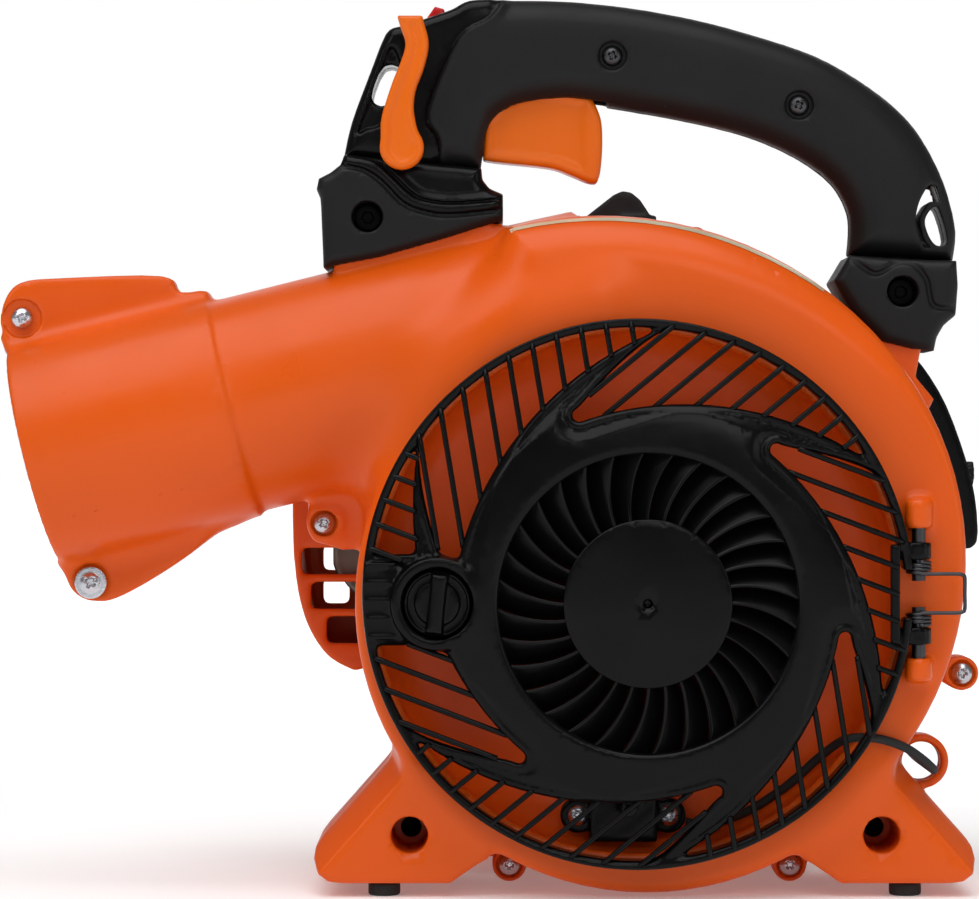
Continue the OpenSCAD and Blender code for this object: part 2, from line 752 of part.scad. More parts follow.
module engine_shroud()
    color(orange) difference() {
        union() {
            slab(101.9, 120) shroud_outline(0);
            slab(53, 102.5) intersection() {
                shroud_outline(0);
                translate([-50, 182]) square([200, 90]);
            }
        }
        slab(50, 118) shroud_outline(2.4);
        rod_y(fan_x, fan_z, 50, 100, 121);
        starter_bosses(100, 121, screw_r + fit);
        rod_z(fan_x, engine_y, 13.6, 240, 260);
        rod_z(fan_x - 20.5, 84, 5.5, 240, 260);
        for (z = [190 : 9 : 232]) block([0, 110], [60, 90], [z, z + 4]);
        block([70, 110], [50, 102], [176, 187]);
    }

module starter_bosses(a, b, r)
    for (t = starter_angles) {
        p = [fan_x, fan_z] + polar(starter_circle_r, t);
        rod_y(p[0], p[1], r, a, b);
    }

module muffler()
    color(steel) {
        difference() {
            slab(53, 97) offset(r = 8) offset(delta = -8)
                polygon([[-66, 118], [-66, 186], [-1, 186], [-1, 124], [-6, 116], [-56, 106]]);
            slab(54.5, 95.5) offset(r = 8) offset(delta = -9.5)
                polygon([[-66, 118], [-66, 186], [-1, 186], [-1, 124], [-6, 116], [-56, 106]]);
            rod_x(engine_y, port_z, 6, -5, 20);
            rod_y(tail_pipe[0], tail_pipe[1], 5, 90, 100);
        }
        difference() {
            block([-1, fan_x - 36], [62, 86], [port_z - 9, port_z + 9]);
            rod_x(engine_y, port_z, 6, -5, 20);
        }
        difference() {
            rod_y(tail_pipe[0], tail_pipe[1], 6.5, 97, 105);
            rod_y(tail_pipe[0], tail_pipe[1], 5, 94, 106);
        }
        slab(74, 75.5) polygon([[-64, 146], [-64, 144], [-10, 130], [-8, 132]]);
    }

module guard_outline(inset)
    offset(delta = -inset) polygon(concat(
        spline([[-57, 78], [-66.5, 83], [-73.5, 92], [-78, 103.5], [-80.5, 118], [-81.5, 138],
                [-81.5, 188]], 3),
        [[-70, 198], [0, 198], [0, 96], [-40, 82]]));

module muffler_guard()
    color(orange) difference() {
        slab(guard_depth[0], guard_depth[1]) guard_outline(0);
        slab(guard_depth[0] + 2.2, guard_depth[1] - 2.2) guard_outline(2.2);
        slab(guard_depth[0] - 1, guard_depth[0] + 4)
            for (r = [[126, -77.3], [112.5, -73.6], [99, -67.5]])
                translate([r[1], r[0] - 9.6]) square([-46 - r[1], 9.6]);
        slab(guard_depth[1] - 4, guard_depth[1] + 1)
            for (top = [126, 112.5], r = [[-71, -61.5], [-58, -49]])
                translate([r[0], top - 9.6]) square([r[1] - r[0], 9.6]);
        block([-10, 10], [50, 98], [100, 194]);
        block([-60, 0], [guard_depth[0] - 1, 60], [140, 190]);
        rod_y(tail_pipe[0], tail_pipe[1], 9, 90, 110);
        rod_y(guard_screw[0], guard_screw[1], 1.55, 40, 60);
        for (z = [150 : 9 : 180]) block([-90, -70], [58, 92], [z, z + 5]);
    }

intake_x = fan_x + 36;
intake_z = port_z - 3;

module carb_insulator()
    color([0.45, 0.12, 0.06]) difference() {
        block([intake_x, intake_x + 9], [62, 86], [port_z - 12, port_z + 9]);
        rod_x(engine_y, intake_z, 5, intake_x - 1, intake_x + 10);
    }

arm_x = 114;
arm_z = 170;
arm_y = 52;
choke_x = 126;
choke_z = 156;
primer_x = 116;

module carburetor()
    color(alloy) difference() {
        union() {
            block([intake_x + 9, 134], [62, 86], [148, 178]);
            block([104, 128], [65, 83], [141, 149]);
            rod_y(arm_x, arm_z, 5, 58, 62.5);
            rod_z(primer_x, engine_y, 10.8, 134, 142);
            for (z = [153, 173]) block([intake_x + 9, 134], [59, 63], [z - 2, z + 2]);
        }
        rod_x(engine_y, intake_z, 6, 90, 140);
        rod_y(arm_x, arm_z, 1.8 + fit, 50, 66);
        rod_y(choke_x, choke_z, 1.8 + fit, 50, 68);
        rod_z(primer_x, engine_y, 4.6 + fit, 133, 143);
        rod_z(primer_x, engine_y, 8.8, 133, 139);
    }

module throttle_arm()
    color(steel) {
        rod_y(arm_x, arm_z, 1.8, arm_y - 1, 65);
        slab(arm_y, arm_y + 1.5) difference() {
            translate([arm_x, arm_z]) {
                circle(r = 5);
                translate([-12, -3]) square([12, 6]);
                translate([-12, 0]) circle(r = 3);
            }
            translate([arm_x - 12, arm_z]) circle(r = 1.2);
        }
    }

module choke_lever()
    color(black) {
        rod_y(choke_x, choke_z, 1.8, 50, 66);
        slab(50, 53) translate([choke_x, choke_z]) rotate(-90) union() {
            circle(r = 5);
            translate([0, -2.5]) square([24, 5]);
            translate([24, 0]) circle(r = 5);
        }
    }

module primer_bulb()
    color([0.75, 0.16, 0.08]) {
        difference() {
            translate([primer_x, mid_y + engine_y, 132]) sphere(r = 8.5);
            block([100, 130], [60, 90], [133.7, 145]);
        }
        rod_z(primer_x, engine_y, 4.6, 130, 138.5);
    }

filter_bolt_y = 80;
filter_bolt_z = 155.5;

// The filter case, seen from the front: the outer side is a shallow curve.
function filter_points() = concat(
    spline([[160, 205], [167, 197.5], [176, 182.5], [184, 160.5], [187.5, 145.5], [188.6, 132.5]], 3),
    [[188, 128], [185.5, 125.8], [142.3, 125.8], [142.3, 205]]);

module filter_cover()
    color(black) difference() {
        slab(50, 108) polygon(filter_points());
        slab(52.4, 105.6) offset(delta = -2.4) polygon(filter_points());
        block([140, 146], [52.4, 105.6], [128.2, 202.6]);
        rod_x(filter_bolt_y, filter_bolt_z, 3.3, 178, 192);
        for (y = [60 : 8 : 100]) block([168, 184], [y, y + 4], [124, 130]);
    }

module filter_base()
    color(black) difference() {
        union() {
            block([134, 137.5], [56, 104], [132, 199]);
            block([137, 142], [50, 108], [125.8, 205]);
            rod_x(filter_bolt_y, filter_bolt_z, 5, 141, 172);
        }
        rod_x(engine_y, intake_z, 6, 130, 143);
        rod_x(filter_bolt_y, filter_bolt_z, 2.5 + fit, 160, 173);
    }

module air_filter()
    color([0.35, 0.36, 0.33]) difference() {
        block([142.3, 154], [55, 103], [131, 198]);
        rod_x(filter_bolt_y, filter_bolt_z, 5.3, 140, 156);
    }

module filter_knob()
    color(black) {
        rod_x(filter_bolt_y, filter_bolt_z, 2.5, 172.3, 188);
        difference() {
            rod_x(filter_bolt_y, filter_bolt_z, 5, 187.2, 190.2);
            for (a = [0 : 45 : 315])
                rod_x(filter_bolt_y + 6 * cos(a), filter_bolt_z + 6 * sin(a), 1.6, 186, 191);
        }
    }

cap_x = 112;
cap_y = 74.5;

module tank_shape(inset)
    slab(51 + inset, 98 - inset) offset(r = 6) offset(delta = -6 - inset)
        polygon([[-2, 10], [-2, 50], [10, 60], [26, 66], [84, 58], [126, 58], [128, 46], [115, 10]]);

module fuel_tank()
    color([0.92, 0.90, 0.84, 1]) {
        difference() {
            union() {
                tank_shape(0);
                rod_z(cap_x, cap_y, 11, 50, 66);
            }
            tank_shape(2.4);
            rod_z(cap_x, cap_y, 8.6, 50, 67);
            rod_z(92, 78, 2.5, 50, 70);
            rod_y(fan_x, fan_z, 44.3, 40, 110);
        }
    }

module fuel_cap()
    color(black) difference() {
        union() {
            rod_z(cap_x, cap_y, 8.3, 58, 66.3);
            rod_z(cap_x, cap_y, 14.5, 66.3, 70);
            rod_z(cap_x, cap_y, 12, 69.9, 77);
            for (a = [0 : 30 : 330])
                translate([cap_x, mid_y + cap_y, 69.9]) rotate(a)
                    translate([11, -1.6, 0]) cube([3.2, 3.2, 6]);
        }
        rod_z(cap_x, cap_y, 5.5, 57, 64);
    }

module fuel_line()
    color([0.85, 0.70, 0.20]) cable([[92, 78, 22], [92, 78, 58], [93, 78, 84], [95, 78, 108],
        [98, 77, 124], [100.5, 75, 135], [101, 74, 142], [101, 74, 145.5], [101, 74, 147.95]], 2.4, 8, 3);

module rear_stand()
    color(orange) difference() {
        union() {
            block([fan_x - 68, fan_x + 68], [46.4, 118], [5, 8]);
            for (x = [-68, 64.5]) block([fan_x + x, fan_x + x + 3.5], [60, 118], [7, 16]);
            for (x = [-40, 34]) block([fan_x + x, fan_x + x + 6], [108, 118], [7, 66]);
            block([fan_x - 40, fan_x + 40], [115, 118], [7, 30]);
        }
        rod_y(fan_x, fan_z, 60, 100, 130);
        for (s = [-1, 1]) rod_z(fan_x + s * rear_foot_x, rear_foot_y, 3.05, 0, 12);
        for (x = [-30 : 20 : 30]) block([fan_x + x - 4, fan_x + x + 4], [56, 96], [0, 10]);
    }

// ---------- recoil starter ----------

rope_x = fan_x + 22;
rope_y = 134;
pulley_r = 23.8;

module starter_housing()
    color(orange) difference() {
        union() {
            rod_y(fan_x, fan_z, 60, 120.3, 144);
            rod_y(fan_x, fan_z, 52, 143, 160);
            block([rope_x - 7, rope_x + 7], [126, 142], [150, 170]);
        }
        difference() {
            union() {
                rod_y(fan_x, fan_z, 57, 119, 141);
                rod_y(fan_x, fan_z, 49, 140, 157);
            }
            rod_y(fan_x, fan_z, 6, 128, 160);
            starter_bosses(119, 142, 6);
        }
        starter_bosses(110, 150, screw_r + fit);
        starter_bosses(123.5, 150, 4.3);
        rod_z(rope_x, rope_y, 2.3, 140, 172);
        for (a = [0 : 18 : 342]) slab(150, 165) translate([fan_x, fan_z]) rotate(a)
            polygon([[22, -1], [44, -3.4], [45.5, 0], [44, 3.4], [22, 1]]);
    }

module starter_pulley()
    color([0.2, 0.2, 0.22]) difference() {
        rod_y(fan_x, fan_z, pulley_r, 129, 139);
        difference() {
            rod_y(fan_x, fan_z, pulley_r + 1, 131.7, 136.3);
            rod_y(fan_x, fan_z, 19.8, 131, 137);
        }
        rod_y(fan_x, fan_z, 6 + fit, 128, 140);
        for (a = [0 : 60 : 300]) {
            p = [fan_x, fan_z] + polar(13, a);
            rod_y(p[0], p[1], 3, 128, 140);
        }
    }

module recoil_spring()
    color(steel) slab(141.5, 149) polygon(band([
        for (a = [0 : 15 : 1800]) let (p = polar(7 + a * 0.0205, a)) [fan_x + p[0], fan_z + p[1], 0.35]]));

module starter_rope()
    color([0.8, 0.8, 0.78]) rod_z(rope_x, rope_y, 1.75, fan_z + 4, 176);

module starter_grip()
    color(black) difference() {
        union() {
            translate([rope_x - 16, mid_y + 128, 172]) cube([32, 12, 12]);
            for (s = [-1, 1]) rod_y(rope_x + s * 16, 178, 6, 128, 140);
            translate([rope_x, mid_y + rope_y, 170.4]) cylinder(r1 = 4, r2 = 6, h = 3);
        }
        rod_z(rope_x, rope_y, 1.75, 170, 177);
        rod_z(rope_x, rope_y, 3.4, 176, 186);
    }

module engine_screws()
    color(steel) {
        for (a = [45 : 90 : 315]) {
            p = [fan_x, fan_z] + polar(bolt_circle_r, a);
            pan_screw(p[0], p[1], 43, 10.5);
        }
        for (a = starter_angles) {
            p = [fan_x, fan_z] + polar(starter_circle_r, a);
            rod_y(p[0], p[1], screw_r, 94, 123.5);
            difference() {
                rod_y(p[0], p[1], 3.8, 123.5, 126.5);
                translate([p[0], mid_y + 128, p[1]]) rotate([90, 0, 0]) cylinder(r = 1.8, h = 3, $fn = 6);
            }
        }
        pan_screw(guard_screw[0], guard_screw[1], guard_depth[0], 8, 1.5, 3.1);
    }

// ---------- handle ----------

left_bolt = [-49.8, 252.3];
right_bolt = [150.9, 224.3];
left_foot = [[-68.2, 266.7], [-69, 262.6], [-67.5, 259.2], [-66.3, 233], [-45, 237.1], [-22.5, 243.5],
    [1.1, 251], [1.1, 261.1], [-5, 263.5], [-9, 266], [-57, 271.5]];
right_foot = [[125.2, 228.3], [132.5, 216.1], [143.4, 205.3], [154.6, 202.6], [162.9, 201.9],
    [164, 207.1], [166.6, 211.6], [171.1, 215.4], [172, 226.6], [171.4, 236], [151.6, 236.5], [131, 238]];
left_core = [[-63.4, 259.5], [-62.4, 215], [-30, 205], [-3.1, 215], [-3.1, 258], [-11, 262], [-56, 267]];
right_core = [[131, 229], [139, 204], [150, 180], [162, 184], [159.5, 206], [162.6, 214], [167, 218],
    [167.5, 226], [167, 232], [134, 234]];

handle_outer = [[-59, 275], [-55.9, 288.7], [-48.6, 308.4], [-44.3, 319.5], [-41.4, 323.7], [-36, 325.2],
    [-27.4, 328], [-18.2, 331.2], [-11.8, 334.4], [-0.2, 335], [22.8, 334.8], [48.2, 332.4], [73.7, 327.8],
    [93.8, 322.5], [119.3, 314], [139.4, 302.4], [153.9, 290.2], [163, 276.9], [169.1, 262.9], [172.6, 247.5],
    [171.4, 236.4]];
handle_inner = [[131.7, 238.4], [132.4, 248.4], [131.5, 255.6], [126.5, 264.8], [117.2, 272.7],
    [104.1, 279.8], [87.8, 285.6], [63.5, 291], [34.2, 295.8], [22.8, 296.6], [9.7, 295.1], [2.3, 292.1],
    [-3, 287.2], [-5.1, 278.1], [-6.5, 270]];
grip_screws = [[42.2, 313.1], [112.4, 294.5]];
strap_left = [[-43.6, 309.5], [-36.5, 307], [-42.5, 295], [-48.4, 297.5]];
strap_right = [[163, 256], [165.5, 255.6], [168.7, 243.8], [164.9, 241.9], [161.9, 245.4], [160.3, 251.4]];
trigger_pivot = [3, 300];
lock_pivot = [-36.8, 277.9];

module grip_outline(inset)
    offset(delta = -inset) polygon(concat(spline(handle_outer, 2), spline(handle_inner, 2)));

module grip_solid()
    difference() {
        union() {
            slab(-grip_half, grip_half) grip_outline(3);
            slab(-grip_half + 2, grip_half - 2) grip_outline(1);
            slab(-grip_half + 4, grip_half - 4) grip_outline(0);
        }
        difference() {
            slab(-grip_half + 2.6, grip_half - 2.6) grip_outline(4);
            for (p = grip_screws) rod_y(p[0], p[1], 7, -20, 20);
            rod_y(trigger_pivot[0], trigger_pivot[1], 4.2, -20, -8);
            rod_y(trigger_pivot[0], trigger_pivot[1], 4.2, 8, 20);
            slab(-20, 20) offset(delta = 2.4) polygon(strap_left);
            slab(-20, 20) offset(delta = 2.4) polygon(strap_right);
            rod_y(lock_pivot[0], lock_pivot[1], 6, -20, 0);
        }
        slab(-20, 20) polygon(strap_left);
        slab(-20, 20) polygon(strap_right);
        for (p = grip_screws) {
            rod_y(p[0], p[1], 5.2, -20, -grip_half + 3);
            rod_y(p[0], p[1], screw_r + fit, -20, 13);
        }
        rod_y(trigger_pivot[0], trigger_pivot[1], 2 + fit, -12, 12);
        rod_y(lock_pivot[0], lock_pivot[1], 4 + fit, -20, 1);
        // Slot that the trigger swings in
        block([-1.5, 40.5], [-7.5, 7.5], [285, 303]);
        block([-9, 8], [-7.5, 7.5], [268, 296]);
        // Window for the stop switch
        slab(-4.4, 4.4) stop_frame() translate([-4.9, -9]) square([9.8, 20]);
        // Cable exit
        block([-40.5, -34], [10, 20], [275, 286]);
    }

module handle_half_shell(front)
    color(black) half(front) grip_solid();

module handle_screws() {
    bolt_seat = cup_depth + cup_floor;
    color(steel) {
        for (p = grip_screws) pan_screw(p[0], p[1], -grip_half + 3, 24);
        for (f = [left_bolt, right_bolt]) difference() {
            union() {
                rod_y(f[0], f[1], 3, -bolt_seat - 1, bolt_seat + 1);
                rod_y(f[0], f[1], 5, -bolt_seat - 3, -bolt_seat);
                rod_y(f[0], f[1], 5, bolt_seat, bolt_seat + 3);
            }
            for (s = [-1, 1]) translate([f[0], mid_y + s * (bolt_seat + 3), f[1]]) rotate([90, 0, 0])
                cylinder(r = 2.4, h = 3.4, center = true, $fn = 6);
        }
    }
}

// Deep cups in the feet's sides, which reach into the pedestals and hold the bolts' heads.
cup_r = 7;
cup_depth = 8;           // of the cup's inner end, from the seam
cup_floor = 2;

module foot_cups(bolt, r, depth) {
    rod_y(bolt[0], bolt[1], r, -foot_half + 1, -depth);
    rod_y(bolt[0], bolt[1], r, depth, foot_half - 1);
}

module foot(outline, core, bolt)
    color(black) difference() {
        union() {
            difference() {
                slab(-foot_half, foot_half) offset(r = 1.5) offset(delta = -1.5) polygon(outline);
                slab(-foot_half + 4, foot_half - 4) polygon(core);
            }
            foot_cups(bolt, cup_r, cup_depth);
        }
        rod_y(bolt[0], bolt[1], 3 + fit, -30, 30);
        for (s = [[-30, -cup_depth - cup_floor], [cup_depth + cup_floor, 30]])
            rod_y(bolt[0], bolt[1], 5.8, s[0], s[1]);
    }

module trigger() {
    shape = concat(
        spline([[-6.5, 274.6], [0, 273.6], [18.5, 271.6], [26.8, 268.8], [34.1, 266], [37.4, 267.6],
                [38.7, 278.1], [38.4, 289], [36.2, 295.4]], 3),
        [[34, 299], [12, 303], [3, 305.5], [-2, 303], [-2.6, 296], [-6.5, 290]]);
    color(orange) difference() {
        slab(-7, 7) polygon(shape);
        rod_y(trigger_pivot[0], trigger_pivot[1], 2 + fit, -10, 10);
        slab(-4.8, 4.8) offset(delta = -2.6) intersection() {
            polygon(shape);
            translate([9, 270]) square([40, 60]);
        }
    }
}

module trigger_pin()
    color(steel) rod_y(trigger_pivot[0], trigger_pivot[1], 2, -11.5, 11.5);

module throttle_cable()
    color(black) cable([[-38, 8, 291], [-38, 11, 284], [-37, 19, 277.5], [-36, 24.4, 269],
        [-35, 26, 257], [-34, 30, 243], [-32, 42, 231], [-22, 49, 221], [-5, 49.4, 212],
        [20, 49.6, 205], [60, 49.6, 202], [88, 49.6, 199],
        [98, 49.7, 191], [102, 49.7, 181], [102, 49.7, 170]], 1.9, 8, 3);

module lock_lever() {
    blade = spline([[-34.4, 327, 2.5], [-33.2, 324, 4.3], [-31, 316.7, 4.1], [-32.9, 308.5, 4.3],
                    [-35.9, 301, 4.4], [-37.8, 292.5, 5.2], [-38.1, 285.7, 6.4], [-37, 279, 7]], 4);
    color(orange) {
        slab(-25, -19) {
            polygon(band(blade));
            translate(lock_pivot) circle(r = 8.3);
            translate([-34.4, 325.4]) circle(r = 2.6);
        }
        rod_y(lock_pivot[0], lock_pivot[1], 4, -20, -1);
    }
}

// The stop button's own frame: its second axis points out of the nose.
module stop_frame()
    translate([-24.5, 327.5]) rotate(19) children();

module stop_switch()
    color([0.75, 0.04, 0.04]) {
        slab(-4, 4) stop_frame() polygon([[-4.5, -4.5], [4.5, -4.5], [4.5, 3.2], [1.6, 5.2], [-4.5, 0.8]]);
        slab(-3, 3) stop_frame() translate([-3, -8]) square([6, 4]);
    }

fan_case_front();
fan_case_rear();
case_screws();
tube_clamp_bolt();
rubber_feet();
intake_grille();
latch_knob();
latch_keeper();
hinge_pins();
hinge_spring();
interlock_switch();
interlock_plunger();
interlock_lead();
impeller();
shredder_blade();
shaft_nuts();
crankcase_half(true);  // crankcase_front
crankcase_half(false);  // crankcase_rear
crank_bearings();
oil_seals();
crankshaft();
connecting_rod();
piston();
cylinder_barrel();  // cylinder
spark_plug();
plug_boot();
ignition_coil();
flywheel();
engine_shroud();
muffler();
muffler_guard();
carb_insulator();
carburetor();
throttle_arm();
choke_lever();
primer_bulb();
filter_base();
air_filter();
filter_cover();
filter_knob();
fuel_tank();
fuel_cap();
fuel_line();
rear_stand();
starter_housing();
starter_pulley();
recoil_spring();
starter_rope();
starter_grip();
engine_screws();
handle_half_shell(true);  // handle_front
handle_half_shell(false);  // handle_rear
handle_screws();
foot(left_foot, left_core, left_bolt);  // handle_foot_left
foot(right_foot, right_core, right_bolt);  // handle_foot_right
trigger();
trigger_pin();
throttle_cable();
lock_lever();
stop_switch();
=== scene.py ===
"""Visual model of the hand-held petrol leaf blower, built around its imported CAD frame.

Moulded parts are modelled as signed distance fields (millimetres, Y measured from the seam between the
case halves) and meshed with OpenVDB. Thin bars, vanes and wires are swept meshes. Castings are CAD nodes
with their edges worn round, and the other CAD nodes keep their shape.
"""

import json
import math

import bpy
import bmesh
import numpy as np
import openvdb
from mathutils import Matrix, Vector


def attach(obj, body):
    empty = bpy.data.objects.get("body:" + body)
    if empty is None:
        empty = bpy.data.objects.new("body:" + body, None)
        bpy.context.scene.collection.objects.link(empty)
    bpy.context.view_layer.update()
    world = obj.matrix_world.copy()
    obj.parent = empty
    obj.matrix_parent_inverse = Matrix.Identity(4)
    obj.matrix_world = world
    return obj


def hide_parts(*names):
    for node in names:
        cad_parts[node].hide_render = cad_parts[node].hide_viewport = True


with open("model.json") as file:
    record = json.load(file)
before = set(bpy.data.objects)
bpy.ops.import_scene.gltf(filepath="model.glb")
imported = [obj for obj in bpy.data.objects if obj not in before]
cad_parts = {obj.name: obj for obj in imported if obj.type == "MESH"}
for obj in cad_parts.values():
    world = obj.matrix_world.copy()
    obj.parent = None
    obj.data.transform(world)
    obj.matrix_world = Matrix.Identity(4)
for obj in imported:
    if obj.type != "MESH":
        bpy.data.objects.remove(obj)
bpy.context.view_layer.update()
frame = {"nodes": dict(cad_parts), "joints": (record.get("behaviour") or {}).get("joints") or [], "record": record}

MM = 0.001


def add_object(name, data):
    obj = bpy.data.objects.new(name, data)
    bpy.context.collection.objects.link(obj)
    return obj


# ---------- camera ----------

def joint(name):
    return next(j for j in frame["joints"] if j["name"] == name)


def in_mm(point):
    return [1000 * c for c in point]


AXIS_X, MID_Y, AXIS_Z = in_mm(joint("crank_spin")["pos_m"])
EYE_X, EYE_Z, EYE_DISTANCE = -4.0, 165.0, 1400.0
VIEW_WIDTH, SENSOR_WIDTH = 372.0, 36


def add_camera():
    data = bpy.data.cameras.new("camera")
    data.sensor_width = SENSOR_WIDTH
    data.lens = SENSOR_WIDTH * EYE_DISTANCE / VIEW_WIDTH
    data.clip_end = 20
    camera = add_object("camera", data)
    camera.location = (EYE_X * MM, (MID_Y - EYE_DISTANCE) * MM, EYE_Z * MM)
    camera.rotation_euler = (math.radians(90), 0, 0)
    bpy.context.scene.camera = camera


# ---------- materials ----------

class Nodes:
    """A short way to wire a node tree."""

    def __init__(self, name, color, roughness, metallic=0.0, **inputs):
        self.material = bpy.data.materials.new(name)
        self.material.use_nodes = True
        self.tree = self.material.node_tree
        self.shader = self.tree.nodes["Principled BSDF"]
        self.shader.inputs["Base Color"].default_value = (*color, 1)
        self.shader.inputs["Roughness"].default_value = roughness
        self.shader.inputs["Metallic"].default_value = metallic
        for key, value in inputs.items():
            self.shader.inputs[key.replace("_", " ")].default_value = value
        self.place = self.add("ShaderNodeTexCoord").outputs["Object"]

    def add(self, kind, **values):
        node = self.tree.nodes.new(kind)
        for key, value in values.items():
            if hasattr(node, key):
                setattr(node, key, value)
            else:
                node.inputs[key].default_value = value
        return node

    def link(self, out, into):
        self.tree.links.new(out, into)

    def noise(self, scale, detail=4.0, place=None):
        node = self.add("ShaderNodeTexNoise", Scale=scale, Detail=detail)
        self.link(place or self.place, node.inputs["Vector"])
        return node.outputs["Fac"]

    def scaled(self, x, y, z):
        node = self.add("ShaderNodeMapping")
        node.inputs["Scale"].default_value = (x, y, z)
        self.link(self.place, node.inputs["Vector"])
        return node.outputs["Vector"]

    def span(self, value, low, high, start=0.3, end=0.7):
        node = self.add("ShaderNodeMapRange")
        self.link(value, node.inputs["Value"])
        for key, number in {"From Min": start, "From Max": end, "To Min": low, "To Max": high}.items():
            node.inputs[key].default_value = number
        return node.outputs["Result"]

    def mix(self, factor, a, b):
        node = self.add("ShaderNodeMix", data_type="RGBA")
        # A mix node has a socket of each name for every data type. These are its colour sockets.
        node.inputs[6].default_value = (*a, 1)
        node.inputs[7].default_value = (*b, 1)
        self.link(factor, node.inputs[0])
        return node.outputs[2]

    def tint(self, factor, a, b):
        self.link(self.mix(factor, a, b), self.shader.inputs["Base Color"])

    def dull(self, value, low, high):
        self.link(self.span(value, low, high), self.shader.inputs["Roughness"])

    def bump(self, height, strength, distance):
        node = self.add("ShaderNodeBump", Strength=strength, Distance=distance)
        self.link(height, node.inputs["Height"])
        old = self.shader.inputs["Normal"].links
        if old:
            self.link(old[0].from_socket, node.inputs["Normal"])
        self.link(node.outputs["Normal"], self.shader.inputs["Normal"])


def shade(color, factor):
    return tuple(min(1.0, c * factor) for c in color)


def moulded(name, color, roughness, grain=0.10, spread=0.10, gloss=0.25):
    """Injection-moulded plastic: a fine spark grain, cloudy gloss and a little colour drift."""
    n = Nodes(name, color, roughness, Specular_IOR_Level=gloss)
    n.tint(n.span(n.noise(14, 5), 0, 1), shade(color, 1 - spread), shade(color, 1 + spread))
    n.dull(n.noise(45, 6), roughness - 0.05, roughness + 0.08)
    n.bump(n.noise(2600, 2), grain, 0.0002)
    n.bump(n.noise(60, 2), 0.05, 0.0006)
    return n.material


def metal(name, color, roughness, brushed=(1, 1, 1), cast=0.0):
    """Plated, ground or cast metal: streaks along the machining, or the pebbly skin of a casting."""
    n = Nodes(name, color, roughness, 1.0)
    streak = n.noise(220, 6, n.scaled(*brushed))
    n.tint(n.span(n.noise(30, 6), 0, 1), shade(color, 0.82), shade(color, 1.12))
    n.dull(streak, roughness - 0.08, roughness + 0.12)
    n.bump(streak, 0.12, 0.0001)
    if cast:
        n.bump(n.noise(700, 3), cast, 0.0004)
    return n.material


def rubber(name, color, roughness=0.7):
    n = Nodes(name, color, roughness, Specular_IOR_Level=0.35)
    n.tint(n.span(n.noise(25, 5), 0, 1), shade(color, 0.75), shade(color, 1.35))
    n.dull(n.noise(90, 4), roughness - 0.08, roughness + 0.1)
    n.bump(n.noise(1500, 3), 0.2, 0.0002)
    return n.material


def foam(name, color):
    n = Nodes(name, color, 0.95)
    cells = n.add("ShaderNodeTexVoronoi", Scale=520.0)
    n.link(n.place, cells.inputs["Vector"])
    n.tint(n.span(cells.outputs["Distance"], 0, 1, 0.1, 0.6), shade(color, 1.3), shade(color, 0.35))
    n.bump(cells.outputs["Distance"], 0.8, 0.001)
    return n.material


def braid(name, color):
    n = Nodes(name, color, 0.85, Sheen_Weight=0.3)
    wave = n.add("ShaderNodeTexWave", Scale=260.0, Distortion=1.5, bands_direction="DIAGONAL")
    n.link(n.place, wave.inputs["Vector"])
    n.tint(wave.outputs["Fac"], shade(color, 0.55), color)
    n.bump(wave.outputs["Fac"], 0.6, 0.0005)
    return n.material


def label_paper(name):
    """A plain laminated strip with a faint metallic sheen and no print."""
    n = Nodes(name, (0.72, 0.62, 0.42), 0.35, 0.25, Coat_Weight=0.5, Coat_Roughness=0.1)
    n.tint(n.span(n.noise(60, 3), 0, 1), (0.62, 0.52, 0.34), (0.80, 0.72, 0.52))
    n.bump(n.noise(300, 2), 0.06, 0.0002)
    return n.material


# A moulding's values are its colour, roughness, grain, spread and gloss. A metal's are its colour,
# roughness, the stretch of its streaks and its cast grain.
FINISHES = {
    "case_plastic": (moulded, (0.72, 0.094, 0.004), 0.32, 0.06, 0.04),
    # recess_plastic is the case plastic made brighter: painted light in the dish behind the cover.
    "recess_plastic": (moulded, (0.94, 0.105, 0.006), 0.34, 0.06, 0.04),
    "trigger_plastic": (moulded, (0.76, 0.135, 0.003), 0.30, 0.04, 0.05),
    "black_plastic": (moulded, (0.0026, 0.0026, 0.0028), 0.22, 0.08, 0.15, 0.13),
    "grip_plastic": (moulded, (0.0075, 0.0075, 0.0078), 0.46, 0.30, 0.12, 0.2),
    "red_plastic": (moulded, (0.55, 0.008, 0.006), 0.30, 0.04),
    "tank_plastic": (moulded, (0.72, 0.68, 0.56), 0.42, 0.05, 0.06),
    "white_plastic": (moulded, (0.62, 0.62, 0.58), 0.4),
    "insulator_plastic": (moulded, (0.10, 0.022, 0.012), 0.5, 0.25),
    "coil_plastic": (moulded, (0.022, 0.022, 0.026), 0.45, 0.2),
    "rubber_black": (rubber, (0.016, 0.016, 0.016)),
    "rubber_seal": (rubber, (0.05, 0.018, 0.010)),
    "rubber_bulb": (rubber, (0.30, 0.020, 0.014), 0.45),
    "rubber_hose": (rubber, (0.42, 0.28, 0.06), 0.4),
    "foam_grey": (foam, (0.07, 0.075, 0.07)),
    "rope_white": (braid, (0.60, 0.60, 0.56)),
    "screw_steel": (metal, (0.55, 0.56, 0.60), 0.27, (1, 1, 8)),
    "dark_steel": (metal, (0.07, 0.07, 0.075), 0.34, (1, 1, 6)),
    "black_steel": (metal, (0.006, 0.006, 0.006), 0.5, (1, 1, 6)),
    "ground_steel": (metal, (0.42, 0.43, 0.45), 0.26, (8, 1, 8)),
    "muffler_steel": (metal, (0.16, 0.13, 0.11), 0.46, (3, 1, 1), 0.1),
    "cast_alloy": (metal, (0.48, 0.49, 0.50), 0.44, (1, 1, 1), 0.35),
    "plug_ceramic": (moulded, (0.75, 0.75, 0.72), 0.16, 0.02, 0.03),
    "label": (label_paper,),
}
